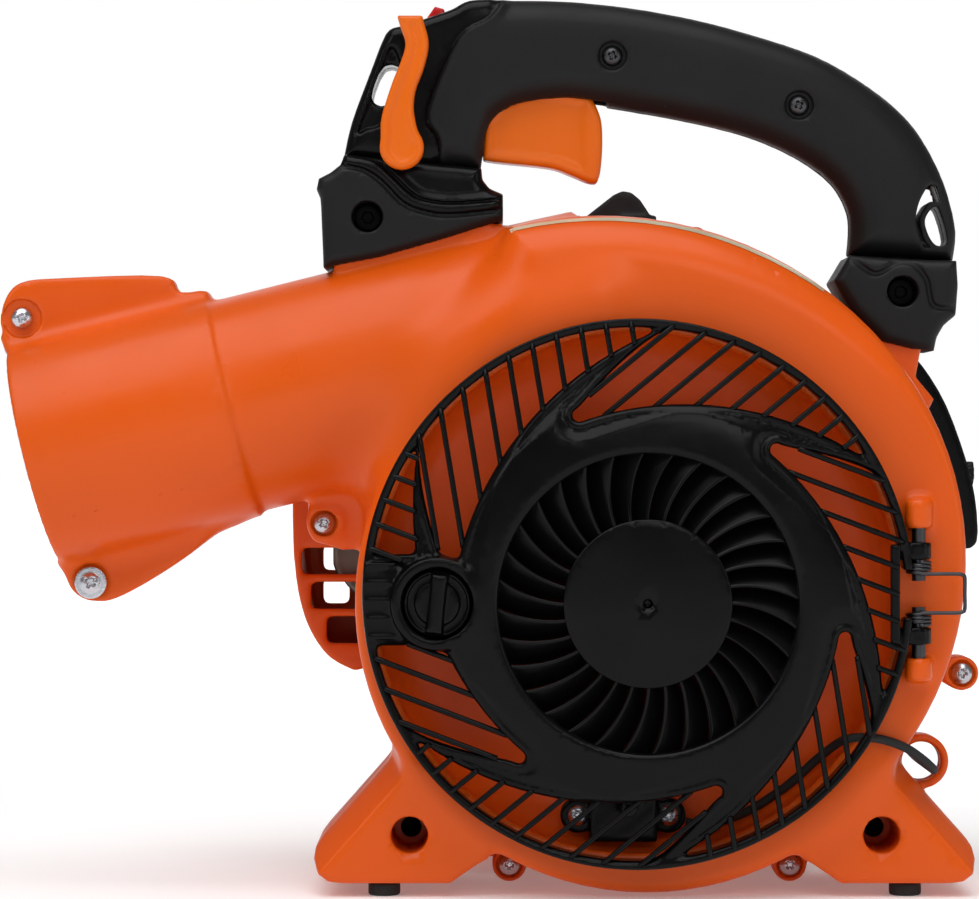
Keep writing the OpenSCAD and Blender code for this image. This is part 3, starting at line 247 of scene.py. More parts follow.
M = {name: make(name, *values) for name, (make, *values) in FINISHES.items()}


# ---------- signed distance fields ----------

class Grid:
    """Sample points: x, y and z are broadcast arrays, so that what depends on x and z alone stays flat."""

    def __init__(self, low, high, step):
        self.low, self.step = np.array(low, float), step
        axes = [np.arange(a, b + step, step, dtype=np.float32) for a, b in zip(low, high)]
        self.x = axes[0][:, None, None]
        self.y = axes[1][None, :, None]
        self.z = axes[2][None, None, :]
        self.shape = tuple(len(a) for a in axes)


def smin(a, b, k):
    h = np.maximum(k - np.abs(a - b), 0) / k
    return np.minimum(a, b) - h * h * k * 0.25


def smax(a, b, k):
    return -smin(-a, -b, k)


def polygon(points, u, v):
    """Signed distance from (u, v) to a closed outline, negative inside."""
    near = np.full(np.broadcast(u, v).shape, 1e12, np.float32)
    sign = np.ones(near.shape, np.float32)
    count = len(points)
    for i in range(count):
        (ax, ay), (bx, by) = points[i], points[(i + 1) % count]
        ex, ey = bx - ax, by - ay
        wx, wy = u - ax, v - ay
        t = np.clip((wx * ex + wy * ey) / (ex * ex + ey * ey + 1e-12), 0, 1)
        near = np.minimum(near, (wx - ex * t) ** 2 + (wy - ey * t) ** 2)
        above, below = v >= ay, v < by
        left = ex * wy > ey * wx
        sign = np.where((above & below & left) | (~above & ~below & ~left), -sign, sign)
    return sign * np.sqrt(near)


def box_round(a, b, r):
    """Rounds the edge where two faces, at signed distances a and b, meet."""
    p, q = a + r, b + r
    return np.minimum(np.maximum(p, q), 0) + np.sqrt(np.maximum(p, 0) ** 2 + np.maximum(q, 0) ** 2) - r


def between(values, low, high):
    return np.abs(values - (low + high) / 2) - (high - low) / 2


def slab(grid, flat, low, high, r):
    """A flat outline's field extruded between depths low and high, its edges rounded by r."""
    return box_round(flat, between(grid.y, low, high), r)


def rectangle(grid, x, z, half_x, half_z):
    return np.maximum(np.abs(grid.x - x) - half_x, np.abs(grid.z - z) - half_z)


def disc(grid, x, z):
    return np.hypot(grid.x - x, grid.z - z)


def turned(grid, x, z, degrees):
    """Distances along and across a direction in the side view, from a point."""
    a = math.radians(degrees)
    along = (grid.x - x) * math.cos(a) + (grid.z - z) * math.sin(a)
    return along, -(grid.x - x) * math.sin(a) + (grid.z - z) * math.cos(a)


def rod(grid, x, z, radius, low, high, r=0.5):
    return slab(grid, disc(grid, x, z) - radius, low, high, r)


def line_distance(points, u, v):
    """Distance from (u, v) to an open polyline."""
    near = np.full(np.broadcast(u, v).shape, 1e12, np.float32)
    for (ax, ay), (bx, by) in zip(points[:-1], points[1:]):
        ex, ey = bx - ax, by - ay
        t = np.clip(((u - ax) * ex + (v - ay) * ey) / (ex * ex + ey * ey), 0, 1)
        near = np.minimum(near, (u - ax - ex * t) ** 2 + (v - ay - ey * t) ** 2)
    return np.sqrt(near)


def spline(points, steps=6, closed=False):
    """Catmull-Rom points through a list of points."""
    p = [np.array(q, float) for q in points]
    count = len(p)
    out = []
    for i in range(count if closed else count - 1):
        if closed:
            a, b, c, d = (p[(i + k) % count] for k in (-1, 0, 1, 2))
        else:
            a, b, c, d = p[max(i - 1, 0)], p[i], p[i + 1], p[min(i + 2, count - 1)]
        for k in range(steps):
            t = k / steps
            out.append(0.5 * (2 * b + (c - a) * t + (2 * a - 5 * b + 4 * c - d) * t * t
                              + (3 * b - a - 3 * c + d) * t ** 3))
    if not closed:
        out.append(p[-1])
    return [tuple(q) for q in out]


def area(grid, points, steps=0):
    """Signed distance in the side view to a closed outline, which steps turn into a smooth one."""
    return polygon(spline(points, steps, True) if steps else points, grid.x, grid.z)


def polar(r, degrees):
    a = math.radians(degrees)
    return r * math.cos(a), r * math.sin(a)


def about_axis(r, degrees):
    x, z = polar(r, degrees)
    return AXIS_X + x, AXIS_Z + z


# ---------- meshes ----------

def add_piece(name, mesh, material, body="housing", replaced=()):
    """A visible piece on a body. Its slot is its material's."""
    obj = add_object(name, mesh)
    mesh.materials.append(M[material])
    mesh.polygons.foreach_set("use_smooth", [True] * len(mesh.polygons))
    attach(obj, body)
    if replaced:
        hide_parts(*replaced)
    return obj


def field_mesh(name, grid, field, adaptivity=0.02):
    """The surface where a field is zero."""
    vdb = openvdb.FloatGrid()
    vdb.copyFromArray(np.array(np.broadcast_to(field, grid.shape), np.float32, order="C"))
    points, triangles, quads = vdb.convertToPolygons(isovalue=0.0, adaptivity=adaptivity)
    points = points * grid.step + grid.low + np.array([0, MID_Y, 0])
    mesh = bpy.data.meshes.new(name)
    mesh.from_pydata((points * MM).tolist(), [], [f[::-1] for f in triangles.tolist() + quads.tolist()])
    mesh.validate()
    bm = bmesh.new()
    bm.from_mesh(mesh)
    if bm.calc_volume(signed=True) < 0:
        bmesh.ops.reverse_faces(bm, faces=bm.faces)
    bm.to_mesh(mesh)
    bm.free()
    return mesh


class Points:
    """Loose sample points, for tracing a field's surface."""

    def __init__(self, points):
        self.x, self.y, self.z = np.array(points, np.float32).T


def trace(field_of, starts, directions, rounds=40):
    """Walks each start along its direction to the surface of a field."""
    points, ways = np.array(starts, float), np.array(directions, float)
    for _ in range(rounds):
        points = points - ways * field_of(Points(points))[:, None] * 0.8
    return points


def grid_mesh(name, rows, closed_columns=False):
    """A quad mesh through rows of points, in millimetres with y from the seam."""
    high, wide = len(rows), len(rows[0])
    points = [(x * MM, (y + MID_Y) * MM, z * MM) for row in rows for x, y, z in row]
    faces = []
    for i in range(high - 1):
        for k in range(wide if closed_columns else wide - 1):
            row, below, k2 = i * wide, (i + 1) * wide, (k + 1) % wide
            faces.append((row + k, row + k2, below + k2, below + k))
    mesh = bpy.data.meshes.new(name)
    mesh.from_pydata(points, [], faces)
    return mesh


def tube_rows(path, radius, sides=10):
    """Rings round a path, each end drawn in to a small cap."""
    path = [Vector(p) for p in path]
    last = len(path) - 1
    turns = [math.tau * k / sides for k in range(sides)]
    rings = []
    for i, p in enumerate(path):
        way = (path[min(i + 1, last)] - path[max(i - 1, 0)]).normalized()
        u = way.cross(Vector((0.31, 0.17, 0.93))).normalized()
        v = way.cross(u)
        cap = 0.3 * radius
        for r in [cap] * (i == 0) + [radius] + [cap] * (i == last):
            rings.append([tuple(p + r * (u * math.cos(a) + v * math.sin(a))) for a in turns])
    return rings


def tube_mesh(name, path, radius, sides=10):
    mesh = grid_mesh(name, tube_rows(path, radius, sides), closed_columns=True)
    bm = bmesh.new()
    bm.from_mesh(mesh)
    bmesh.ops.holes_fill(bm, edges=[e for e in bm.edges if e.is_boundary], sides=sides)
    bmesh.ops.recalc_face_normals(bm, faces=bm.faces)
    bm.to_mesh(mesh)
    bm.free()
    return mesh


def joined(name, meshes):
    bm = bmesh.new()
    for mesh in meshes:
        bm.from_mesh(mesh)
        bpy.data.meshes.remove(mesh)
    out = bpy.data.meshes.new(name)
    bm.to_mesh(out)
    bm.free()
    return out


# ---------- fan case ----------

CASE_HALF, WALL, CASE_SEAM = 46.0, 3.0, 0.15
SCROLL_START, SCROLL_GROWTH, SCROLL_TURN = 107.0, 39.0, 291
DUCT_TILT, DUCT_OFFSET, DUCT_LENGTH, COLLAR_LENGTH = 14.0, 107.3, 210.0, 78.0
DUCT_R, COLLAR_R, SOCKET_R, SOCKET_LENGTH = 41.0, 42.5, 40.0, 62.0
RIM_X, RIM_Z, RIM_R = AXIS_X - 3.5, AXIS_Z + 3.3, 100.2
RECESS_R, RECESS_Y, EYE_R = 96.0, -28.0, 60.0
LATCH_X, _, LATCH_Z = in_mm(joint("latch_turn")["pos_m"])
HINGE_X, HINGE_ROW_Y, _ = in_mm(joint("cover_hinge")["pos_m"])
HINGE_Y = HINGE_ROW_Y - MID_Y
STAND_X, STAND_Z, STAND_HOLE_R, STAND_SEAT = 87.0, 23.0, 6.8, -12.0
SCREWS = [(-180.9, 214.6, -6), (-66.5, 137.1, -8), (3.5, 8.2, -8), (109.4, 8.2, -8), (174.5, 80.4, -8)]
CLAMP = (-154.7, 114.7)
SWITCH_SCREWS = [(28.8, 29.6), (62.1, 29.6)]

STAND = [
    (90, 54.5), (105, 37.5), (120, 20.5), (122.3, 17), (122.8, 13), (121, 8.5), (117, 5.6), (112, 5),
    (72, 5), (59, 14), (56, 30),
]
UPPER_FLANGE = [
    (-189.3, 216), (-187, 224), (-181, 229), (-167, 230.5), (-128, 231.3), (-121, 225), (-112, 221),
    (-150, 180), (-186, 203), (-189, 210),
]
LOWER_FLANGE = [
    (-165.5, 121), (-163.5, 113), (-159, 108.5), (-153.5, 107), (-146, 107.8), (-133, 114.5), (-117, 125),
    (-107.5, 133.5), (-99, 143), (-130, 160), (-166, 140),
]
LEFT_LUG = [(-72, 142), (-70, 131), (-60, 127), (-44, 128), (-44, 165), (-70, 165)]
LEFT_PEDESTAL = [(-63.4, 259.5), (-62.4, 215), (-30, 205), (-3.1, 215), (-3.1, 258), (-11, 262), (-56, 267)]
LEFT_SHELF = [(-30, 215), (-12, 246.9), (0.8, 250.8), (1.4, 246), (8, 225)]
RIGHT_PEDESTAL = [
    (131, 229), (139, 204), (150, 176), (160, 177), (163.5, 184), (156.6, 192.4), (158.6, 203),
    (162.6, 214), (167, 218), (167.5, 226), (167, 232), (134, 234),
]
LOOP_X, LOOP_Z = 159.5, 47.0


def scroll_radius(t):
    u = (t - 146) / 138
    return SCROLL_START + SCROLL_GROWTH * (u + math.sqrt(u * u + 0.0144)) / 2


def scroll_outline():
    return [about_axis(scroll_radius(t), 180 + t) for t in range(-30, SCROLL_TURN + 1, 4)]


def duct_lines(g):
    """(distance along the duct from its foot, height over its centre line)."""
    tilt = math.radians(DUCT_TILT)
    foot_x, foot_z = AXIS_X - DUCT_OFFSET * math.sin(tilt), AXIS_Z + DUCT_OFFSET * math.cos(tilt)
    back, across = turned(g, foot_x, foot_z, DUCT_TILT)
    return -back, across


def duct_frame(g):
    """(distance along the duct from its foot, distance from its centre line)."""
    along, across = duct_lines(g)
    return along, np.sqrt(across ** 2 + g.y ** 2)


def duct_blend(g):
    """How broadly the duct runs into the scroll: widely in front and below, closely over the top."""
    rise = np.clip((duct_lines(g)[1] - 6) / 26, 0, 1)
    return 24 - 19 * rise * rise * (3 - 2 * rise)


def shoulder(g):
    """How round the edge of the scroll's flat faces is: tight below, wide towards the outlet."""
    rise = np.clip((g.z - 0.25 * (g.x - AXIS_X) - 125) / 110, 0, 1)
    return 4 + 14 * rise * rise * (3 - 2 * rise)


def from_hinge(g):
    return np.hypot(g.x - HINGE_X, g.y - HINGE_Y)


def case_core(g):
    body = box_round(area(g, scroll_outline()), np.abs(g.y) - CASE_HALF, shoulder(g))
    along, away = duct_frame(g)
    duct = box_round(away - DUCT_R, np.abs(along - DUCT_LENGTH / 2 + 10) - DUCT_LENGTH / 2, 1)
    return smin(body, duct, duct_blend(g))


def case_outside(g):
    core = case_core(g)
    along, away = duct_frame(g)
    middle = DUCT_LENGTH - COLLAR_LENGTH / 2
    collar = box_round(away - COLLAR_R, np.abs(along - middle) - COLLAR_LENGTH / 2, 1.2)
    out = smin(core, collar, 2.5)
    flanges = np.minimum(slab(g, area(g, UPPER_FLANGE, 4) + 0.6, -6, 6, 1.5),
                         slab(g, area(g, LOWER_FLANGE, 4) + 0.6, -6, 6, 1.5))
    out = smin(out, flanges, 7)
    out = smin(out, stand_field(g), 8)
    out = smin(out, slab(g, area(g, LEFT_LUG), -8, 8, 2), 4)
    for x, z, y in SCREWS:
        out = smin(out, rod(g, x, z, 6.3, y, -y, 1), 4)
    for x, z, _ in SCREWS[2:]:
        toward = Vector((AXIS_X - x, AXIS_Z - z)).normalized() * 12
        web = line_distance([(x, z), (x + toward.x, z + toward.y)], g.x, g.z) - 4.6
        out = smin(out, slab(g, web, -7.5, 7.5, 1), 3)
    for outline in (LEFT_PEDESTAL, RIGHT_PEDESTAL, LEFT_SHELF):
        out = smin(out, slab(g, area(g, outline) + 0.3, -15.7, 15.7, 1.5), 2.5)
    for low, high in ((136, 147), (80, 89)):
        root = np.maximum(np.abs(g.x - HINGE_X - 1) - 4, np.abs(g.y + 46) - 6)
        ear = np.minimum(from_hinge(g) - 5, root)
        out = smin(out, box_round(ear, between(g.z, low, high), 2.2), 4)
    ring = np.abs(disc(g, LOOP_X, LOOP_Z) - 8.85) - 1.45
    out = smin(out, slab(g, ring, -6, 6, 1), 2)
    return out


def stand_field(g):
    """The splayed feet. Their sloping flanks fall back towards the front and rear faces."""
    foot = polygon(STAND, np.abs(g.x - AXIS_X), g.z)
    (x0, z0), (x1, z1) = STAND[:2]
    length = math.hypot(x1 - x0, z1 - z0)
    flank = ((np.abs(g.x - AXIS_X) - x0) * (z0 - z1) + (g.z - z0) * (x1 - x0)) / length
    draft = (flank + 0.45 * (np.abs(g.y) - 28)) / 1.1
    return smax(slab(g, foot, -44, 44, 2.2), draft, 1.6)


def case_field(g):
    core = case_core(g)
    along, away = duct_frame(g)
    dish = slab(g, disc(g, RIM_X, RIM_Z) - RECESS_R, -90, RECESS_Y, 11)
    collar = rod(g, AXIS_X, AXIS_Z, EYE_R + WALL, -34, 0, 1)
    dish = smax(dish, -collar, 3)
    hollow = smax(core + WALL, WALL - dish, 3)
    out = np.maximum(case_outside(g), -hollow)
    out = np.maximum(out, -dish)
    for x, z in SWITCH_SCREWS:
        out = smin(out, rod(g, x, z, 4.5, -30, RECESS_Y + 2, 0.5), 2)
    cuts = [
        rod(g, AXIS_X, AXIS_Z, EYE_R, -90, -15, 0.2),
        rod(g, AXIS_X, AXIS_Z, 22, 30, 60, 0.2),
        np.maximum(away - SOCKET_R, DUCT_LENGTH - SOCKET_LENGTH - along),
        np.maximum(np.maximum(away - DUCT_R + WALL, 20 - along), WALL - dish),
        from_hinge(g) - 2.6,
        rod(g, LOOP_X, LOOP_Z, 7.4, -20, 20, 0.1),
    ]
    cuts += [rod(g, AXIS_X + s * STAND_X, STAND_Z, STAND_HOLE_R, -60, STAND_SEAT, 0.2) for s in (-1, 1)]
    cuts += [np.maximum(disc(g, *bolt) - CUP_R - 0.3, CUP_DEPTH - 0.3 - np.abs(g.y))
             for bolt in (LEFT_BOLT, RIGHT_BOLT)]
    cuts += [rod(g, x, z, 7.4 if i == 0 else 4.9, y - 8, y + 1.2, 0.4) for i, (x, z, y) in enumerate(SCREWS)]
    cuts += [rod(g, *CLAMP, 7.0, -14, -5.4, 0.4)]
    for cut in cuts:
        out = np.maximum(out, -cut)
    return out


def add_case():
    g = Grid((-192, -58, 0), (183, 48, 266), 1.0)
    field = case_field(g)
    for side, name in ((1, "fan_case_front"), (-1, "fan_case_rear")):
        mesh = field_mesh(name + "_shell", g, np.maximum(field, side * g.y + CASE_SEAM))
        piece = add_piece(name + "_shell", mesh, "case_plastic", replaced=(name,))
        if side == 1:
            # The dish gets a brighter copy of the case plastic, as painted light.
            paint(piece, lambda spots: disc(spots, RIM_X, RIM_Z) - RECESS_R - 0.4, "recess_plastic")


def add_label():
    """The plain strip stuck round the scroll's shoulder."""
    rows = []
    for angle in np.linspace(110, 60, 60):
        radius = scroll_radius(angle + 180) - 18
        x, z = about_axis(radius, angle)
        way = Vector((math.cos(math.radians(angle)), 0, math.sin(math.radians(angle))))
        starts, ways = [], []
        for lean in np.linspace(21, 31, 7):
            tilt = math.radians(lean)
            direction = way * math.cos(tilt) + Vector((0, -math.sin(tilt), 0))
            starts.append(Vector((x, -CASE_HALF + 18, z)) + direction * 15)
            ways.append(direction)
        points = trace(case_core, starts, ways)
        rows.append([tuple(p + np.array(w) * 0.18) for p, w in zip(points, ways)])
    add_piece("shoulder_label", grid_mesh("shoulder_label", rows), "label")


# ---------- intake cover ----------

ARMS, VANES, HUB_R, RING_IN = 6, 32, 30.8, 54.8
BAR_PITCH, BAR_OFFSET, BAR_R = 9.2, -1.6, 1.05
VANE_SWING = 10.8
TIP_R, TIP_HALF = 72.9, 2.4


def window_outline(index):
    """One window: the hub side climbs a slow spiral, the outer side a quick one, and the rim closes it."""
    start = 110 - 60 * index
    tip = [about_axis(TIP_R + TIP_HALF * math.cos(t), start + math.degrees(TIP_HALF * math.sin(t) / TIP_R))
           for t in np.radians([30, 60, 90, 120, 150])]
    inner = [about_axis(TIP_R - TIP_HALF + 27.5 * (d / 80) ** 2.2, start - d) for d in range(0, 85, 3)]
    beyond = [about_axis(125, start - d) for d in range(84, 27, -12)]
    outer = [about_axis(TIP_R + TIP_HALF + 28.7 * (d / 27) ** 1.2, start - d) for d in range(28, -1, -2)]
    return inner + beyond + outer + tip


def window_field(g, index):
    inside_rim = disc(g, RIM_X, RIM_Z) - (RIM_R - 2.7)
    return smax(area(g, window_outline(index)), inside_rim, 4)


def crown_depth(away):
    """Depth of the cover's front: level over the ring, falling to the rim."""
    fall = np.clip((away - 60) / 36, 0, 1)
    return -66 + 6.0 * fall * fall * (3 - 2 * fall)


def cover_front(g, holes):
    """The arms' front faces, with a bead round each window and a broad bevel round its narrow tip."""
    away = disc(g, AXIS_X, AXIS_Z)
    tip = np.full(away.shape, 1e3, np.float32)
    for index in range(ARMS):
        tip = np.minimum(tip, disc(g, *about_axis(75, 108 - 60 * index)))
    edge = np.maximum(holes, 0)
    width = 3.6 + 6.5 * np.clip(1 - (tip - 6) / 26, 0, 1)
    slope = np.clip((width - edge) / (width - 1), 0, 1)
    bead = np.clip(1 - ((edge - 1.5) / 1.5) ** 2, 0, 1)
    return crown_depth(away) + 2.3 * slope * slope * (3 - 2 * slope) - 1.0 * bead


def cover_field(g):
    """The cover's moulding without its bars and vanes."""
    rim = disc(g, RIM_X, RIM_Z) - RIM_R
    away = disc(g, AXIS_X, AXIS_Z)
    holes = None
    for index in range(ARMS):
        hole = window_field(g, index)
        pad = area(g, [(-56, 93), (-56, 127), (-24, 127), (-20, 94)])
        hole = smax(hole, -np.minimum(pad, disc(g, LATCH_X, LATCH_Z) - 17), 3)
        holes = hole if holes is None else np.minimum(holes, hole)
    holes = holes.astype(np.float32)
    openings = np.minimum(away - RING_IN, holes)
    flat = np.maximum(rim, -openings)
    plate = box_round(flat, np.maximum(cover_front(g, holes) - g.y, g.y + 56.5), 0.9)
    band = slab(g, np.abs(disc(g, RIM_X, RIM_Z) - RIM_R + 1.35) - 1.35, -59, -CASE_HALF - 0.35, 0.8)
    out = smin(plate, band, 1.2)
    lip = slab(g, np.abs(away - RING_IN - 2.5) - 2.5, -66, -56.5, 2.2)
    out = smin(out, lip, 1.5)
    hub_front = -65 + 0.0009 * away ** 2
    hub = box_round(away - HUB_R, np.maximum(hub_front - g.y, g.y + 60), 0.9)
    hub = smin(hub, rod(g, AXIS_X, AXIS_Z, 6, -61, -52, 0.8), 2)
    dimple = np.minimum(rod(g, AXIS_X, AXIS_Z, 2.8, -70, -64.2, 0.1),
                        rod(g, AXIS_X, AXIS_Z, 1.6, -70, -61, 0.1))
    out = latch_seat(g, np.minimum(out, np.maximum(hub, -dimple)), rim)
    out = hinge_side(g, out)
    out = smin(out, rod(g, 47, 34, 3, -58, -44.1, 0.5), 1.5)
    gate = np.maximum(np.maximum(np.abs(g.x - 140) - 12, -52.5 - g.y), np.abs(g.z - 57.5) - 6.5)
    return np.maximum(out, -gate)


def latch_seat(g, out, rim):
    """A collar round the knob, with a boss behind and a ribbed pad beside it."""
    cup = slab(g, np.abs(disc(g, LATCH_X, LATCH_Z) - 14.9) - 1.9, -65, -58, 1)
    out = smin(out, cup, 2.5)
    out = smin(out, rod(g, LATCH_X, LATCH_Z, 15.5, -58.5, -50, 1), 2)
    out = np.maximum(out, -rod(g, LATCH_X, LATCH_Z, 13.0, -75, -57, 0.6))
    out = np.maximum(out, -(disc(g, LATCH_X, LATCH_Z) - 3.6))
    for k in range(-2, 3):
        rib = np.maximum(np.abs(g.z - LATCH_Z - 6.6 * k - 1) - 0.6, np.abs(g.x + 45) - 7)
        out = smin(out, slab(g, np.maximum(rib, rim + 1.5), -60.4, -58, 0.3), 0.8)
    return out


def hinge_side(g, out):
    """Arms and knuckles, with room for the spring's coils and, when the cover is open, for its loop."""
    for low, high in ((93.8, 100), (124.8, 131)):
        out = smin(out, box_round(from_hinge(g) - 4.6, between(g.z, low, high), 0.6), 1)
        arm = rectangle(g, 148.7, (low + high) / 2, 4.2, 2.6)
        out = smin(out, slab(g, arm, -56, -50.5, 0.8), 1.5)
    out = smin(out, slab(g, rectangle(g, 143.8, 112.2, 1.6, 18.2), -60, -54, 0.8), 1.5)
    out = np.maximum(out, -(from_hinge(g) - 2.6))
    coils = np.maximum(from_hinge(g) - 5.5, np.abs(g.z - 112.4) - 12.3)
    loop = np.maximum(np.maximum(145.6 - g.x, -70 - g.y), np.abs(g.z - 112.4) - 8.8)
    return np.maximum(out, -np.minimum(coils, loop))


def bar_spans(index):
    """End points of the parallel bars across one window, each run on a little into its frame."""
    angle = math.radians(99.4 - 60 * (index + 1))
    way = np.array([math.cos(angle), math.sin(angle)])
    side = np.array([-way[1], way[0]])
    spans = []
    for k in range(-14, 15):
        steps = np.linspace(-20, 120, 281)
        points = np.array([AXIS_X, AXIS_Z]) + side * (k * BAR_PITCH + BAR_OFFSET) + way * steps[:, None]
        flat = Points(np.column_stack([points[:, 0], 0 * steps, points[:, 1]]))
        inside = window_field(flat, index) < 0
        inside &= ~((flat.x < -20) & (flat.z < 125) & (flat.z > 94))
        inside &= ~((flat.x > 144) & (flat.z < 131) & (flat.z > 94))
        runs = np.flatnonzero(np.diff(np.concatenate([[0], inside.astype(int), [0]])))
        for a, b in zip(runs[::2], runs[1::2]):
            if b - a > 3:
                ends = [points[a] - way * 1.6, points[b - 1] + way * 1.6]
                spans.append([over_rim(end, sign * way) for end, sign in zip(ends, (-1, 1))])
    return spans


def over_rim(end, way):
    """A bar's end that reaches the rim runs on across it, to just short of its edge."""
    centre = np.array([RIM_X, RIM_Z])
    by_hinge = end[0] > 138 and 93 < end[1] < 132
    if np.hypot(*(end - centre)) < RIM_R - 5 or by_hinge:
        return end
    while np.hypot(*(end - centre)) < RIM_R - 0.9:
        end = end + way * 0.2
    return end


def bar_path(start, end):
    """A bar follows the cover's fall to the rim and turns down over the rim's corner."""
    path = []
    for t in np.linspace(0, 1, 17):
        x, z = start + (end - start) * t
        depth = -61.6 + 0.3 * (crown_depth(math.hypot(x - AXIS_X, z - AXIS_Z)) + 66)
        corner = max(math.hypot(x - RIM_X, z - RIM_Z) - RIM_R + 5, 0)
        path.append((x, depth + 0.10 * corner * corner, z))
    return path


def vane_mesh(index):
    """A curved finger-guard vane, leaning as it sweeps from the hub to the ring."""
    start = 360 * index / VANES
    rows = []
    for r in np.linspace(HUB_R - 1.2, RING_IN + 1.2, 15):
        part = (r - HUB_R) / (RING_IN - HUB_R)
        angle = start - 9.5 * max(part, 0) ** 1.4
        front = -63.6 + 0.9 * math.sin(math.pi * min(max(part, 0), 1))
        corners = []
        for depth, swing, half in ((front, 0, 0.45), (front + 7, VANE_SWING, 0.6)):
            for sign in (-1, 1):
                turn = angle + swing + math.degrees(sign * half / r)
                x, z = about_axis(r, turn)
                corners.append((x, depth, z))
        rows.append(chamfered([corners[0], corners[1], corners[3], corners[2]]))
    return grid_mesh("vane", rows, closed_columns=True)


def chamfered(corners):
    """A section with its corners cut, so that the faces between them shade as flat ones."""
    out = []
    for a, b in zip(corners, corners[1:] + corners[:1]):
        out += [tuple(np.array(a) * (1 - t) + np.array(b) * t) for t in (0.07, 0.93)]
    return out


def add_cover():
    g = Grid((-54, -68, 9), (161, -42, 215), 0.6)
    mesh = field_mesh("intake_cover", g, cover_field(g), 0.03)
    add_piece("intake_cover", mesh, "black_plastic", "cover", ("intake_grille",))
    spans = [span for index in range(ARMS) for span in bar_spans(index)]
    bars = [tube_mesh("bar", bar_path(*span), BAR_R, 8) for span in spans]
    add_piece("intake_bars", joined("intake_bars", bars), "black_plastic", "cover")
    vanes = joined("guard_vanes", [vane_mesh(k) for k in range(VANES)])
    add_piece("guard_vanes", vanes, "black_plastic", "cover")


def add_latch():
    g = Grid((-40, -70, 92), (-6, -33, 126), 0.5)
    away = disc(g, LATCH_X, LATCH_Z)
    knob = rod(g, LATCH_X, LATCH_Z, 12.4, -62.4, -57.3, 1.2)
    knob = np.maximum(knob, -slab(g, np.abs(away - 9.6) - 1.4, -70, -61.4, 0.3))
    u, v = turned(g, LATCH_X, LATCH_Z, -6)
    bar = slab(g, np.maximum(np.abs(u) - 2.6 - 0.012 * v * v * 0.2, np.abs(v) - 10.6), -67.8, -60, 1.4)
    knob = smin(knob, np.maximum(bar, away - 10.9), 1.2)
    knob = smin(knob, rod(g, LATCH_X, LATCH_Z, 3.4, -58, -42.9, 0.3), 1)
    tongue = np.maximum(rectangle(g, LATCH_X, LATCH_Z, 3.5, 8.5), away - 8.5)
    knob = smin(knob, slab(g, tongue, -45.4, -42.9, 0.4), 0.5)
    mesh = field_mesh("latch_quarter_turn", g, knob)
    add_piece("latch_quarter_turn", mesh, "black_plastic", "latch", ("latch_knob",))


# ---------- screws ----------

def screw_mesh(name, head_r, shank_r, length, washer_r=0.0):
    """A cross-recessed pan head on its shank, standing at the origin with its seat at y = 0."""
    g = Grid((-head_r - 3, -5, -head_r - 3), (head_r + 3, length + 1, head_r + 3), 0.22)
    away = np.hypot(g.x, g.z)
    dome = np.sqrt(away ** 2 + (g.y - 1.1 * head_r + 2.7) ** 2) - 1.1 * head_r
    head = box_round(np.maximum(away - head_r, dome), np.abs(g.y + 1.4) - 1.4, 0.35)
    field = smin(head, rod(g, 0, 0, shank_r, -1, length, 0.3), 0.3)
    if washer_r:
        field = np.minimum(field, rod(g, 0, 0, washer_r, -1.2, 0, 0.3))
    depth = np.clip((g.y + 2.8) / 1.9, 0, 1)
    arm = 0.56 * head_r * (1 - 0.55 * depth)
    cross = np.minimum(np.maximum(np.abs(g.x) - arm, np.abs(g.z) - 0.13 * head_r),
                       np.maximum(np.abs(g.z) - arm, np.abs(g.x) - 0.13 * head_r))
    cross = smin(cross, away - 0.28 * head_r * (1 - 0.5 * depth), 0.3)
    field = np.maximum(field, -np.maximum(cross, g.y + 0.9))
    return field_mesh(name, g, field)


def foot_bolt_mesh():
    """A bolt through a foot and its pedestal, with a socket head at each end."""
    g = Grid((-7, -15, -7), (7, 15, 7), 0.3)
    seat = CUP_DEPTH + 2
    away = np.hypot(g.x, g.z)
    depth = np.abs(g.y)
    head = box_round(away - 5, np.abs(depth - seat - 1.5) - 1.5, 0.5)
    field = smin(head, rod(g, 0, 0, 3, -seat - 1, seat + 1, 0.2), 0.3)
    socket = area(g, [polar(2.4, 60 * k) for k in range(6)])
    return field_mesh("foot_bolt", g, np.maximum(field, -np.maximum(socket, seat + 1.2 - depth)))


def nut_mesh():
    """A hexagon nut with turned corners, its bearing face at y = 0."""
    g = Grid((-6, -1, -6), (6, 5, 6), 0.25)
    away = np.hypot(g.x, g.z)
    hexagon = area(g, [polar(5.1, 60 * k) for k in range(6)])
    flat = smax(hexagon, away + 0.6 * (g.y - 3.2) - 4.8, 0.3)
    field = np.maximum(box_round(flat, np.abs(g.y - 2) - 2, 0.25), 2.4 - away)
    return field_mesh("nut", g, field)


def planted(mesh, spots, turn=0.0):
    """Copies of a screw, each turned a different way, at (x, z, y) spots."""
    copies = []
    for i, (x, z, y) in enumerate(spots):
        copy = mesh.copy()
        place = Matrix.Translation((x * MM, y * MM, z * MM))
        copy.transform(place @ Matrix.Rotation(turn + 0.7 * i, 4, "Y"))
        copies.append(copy)
    bpy.data.meshes.remove(mesh)
    return copies


def add_fasteners(name, material, meshes, replaced=()):
    add_piece(name, joined(name, meshes), material, replaced=replaced)


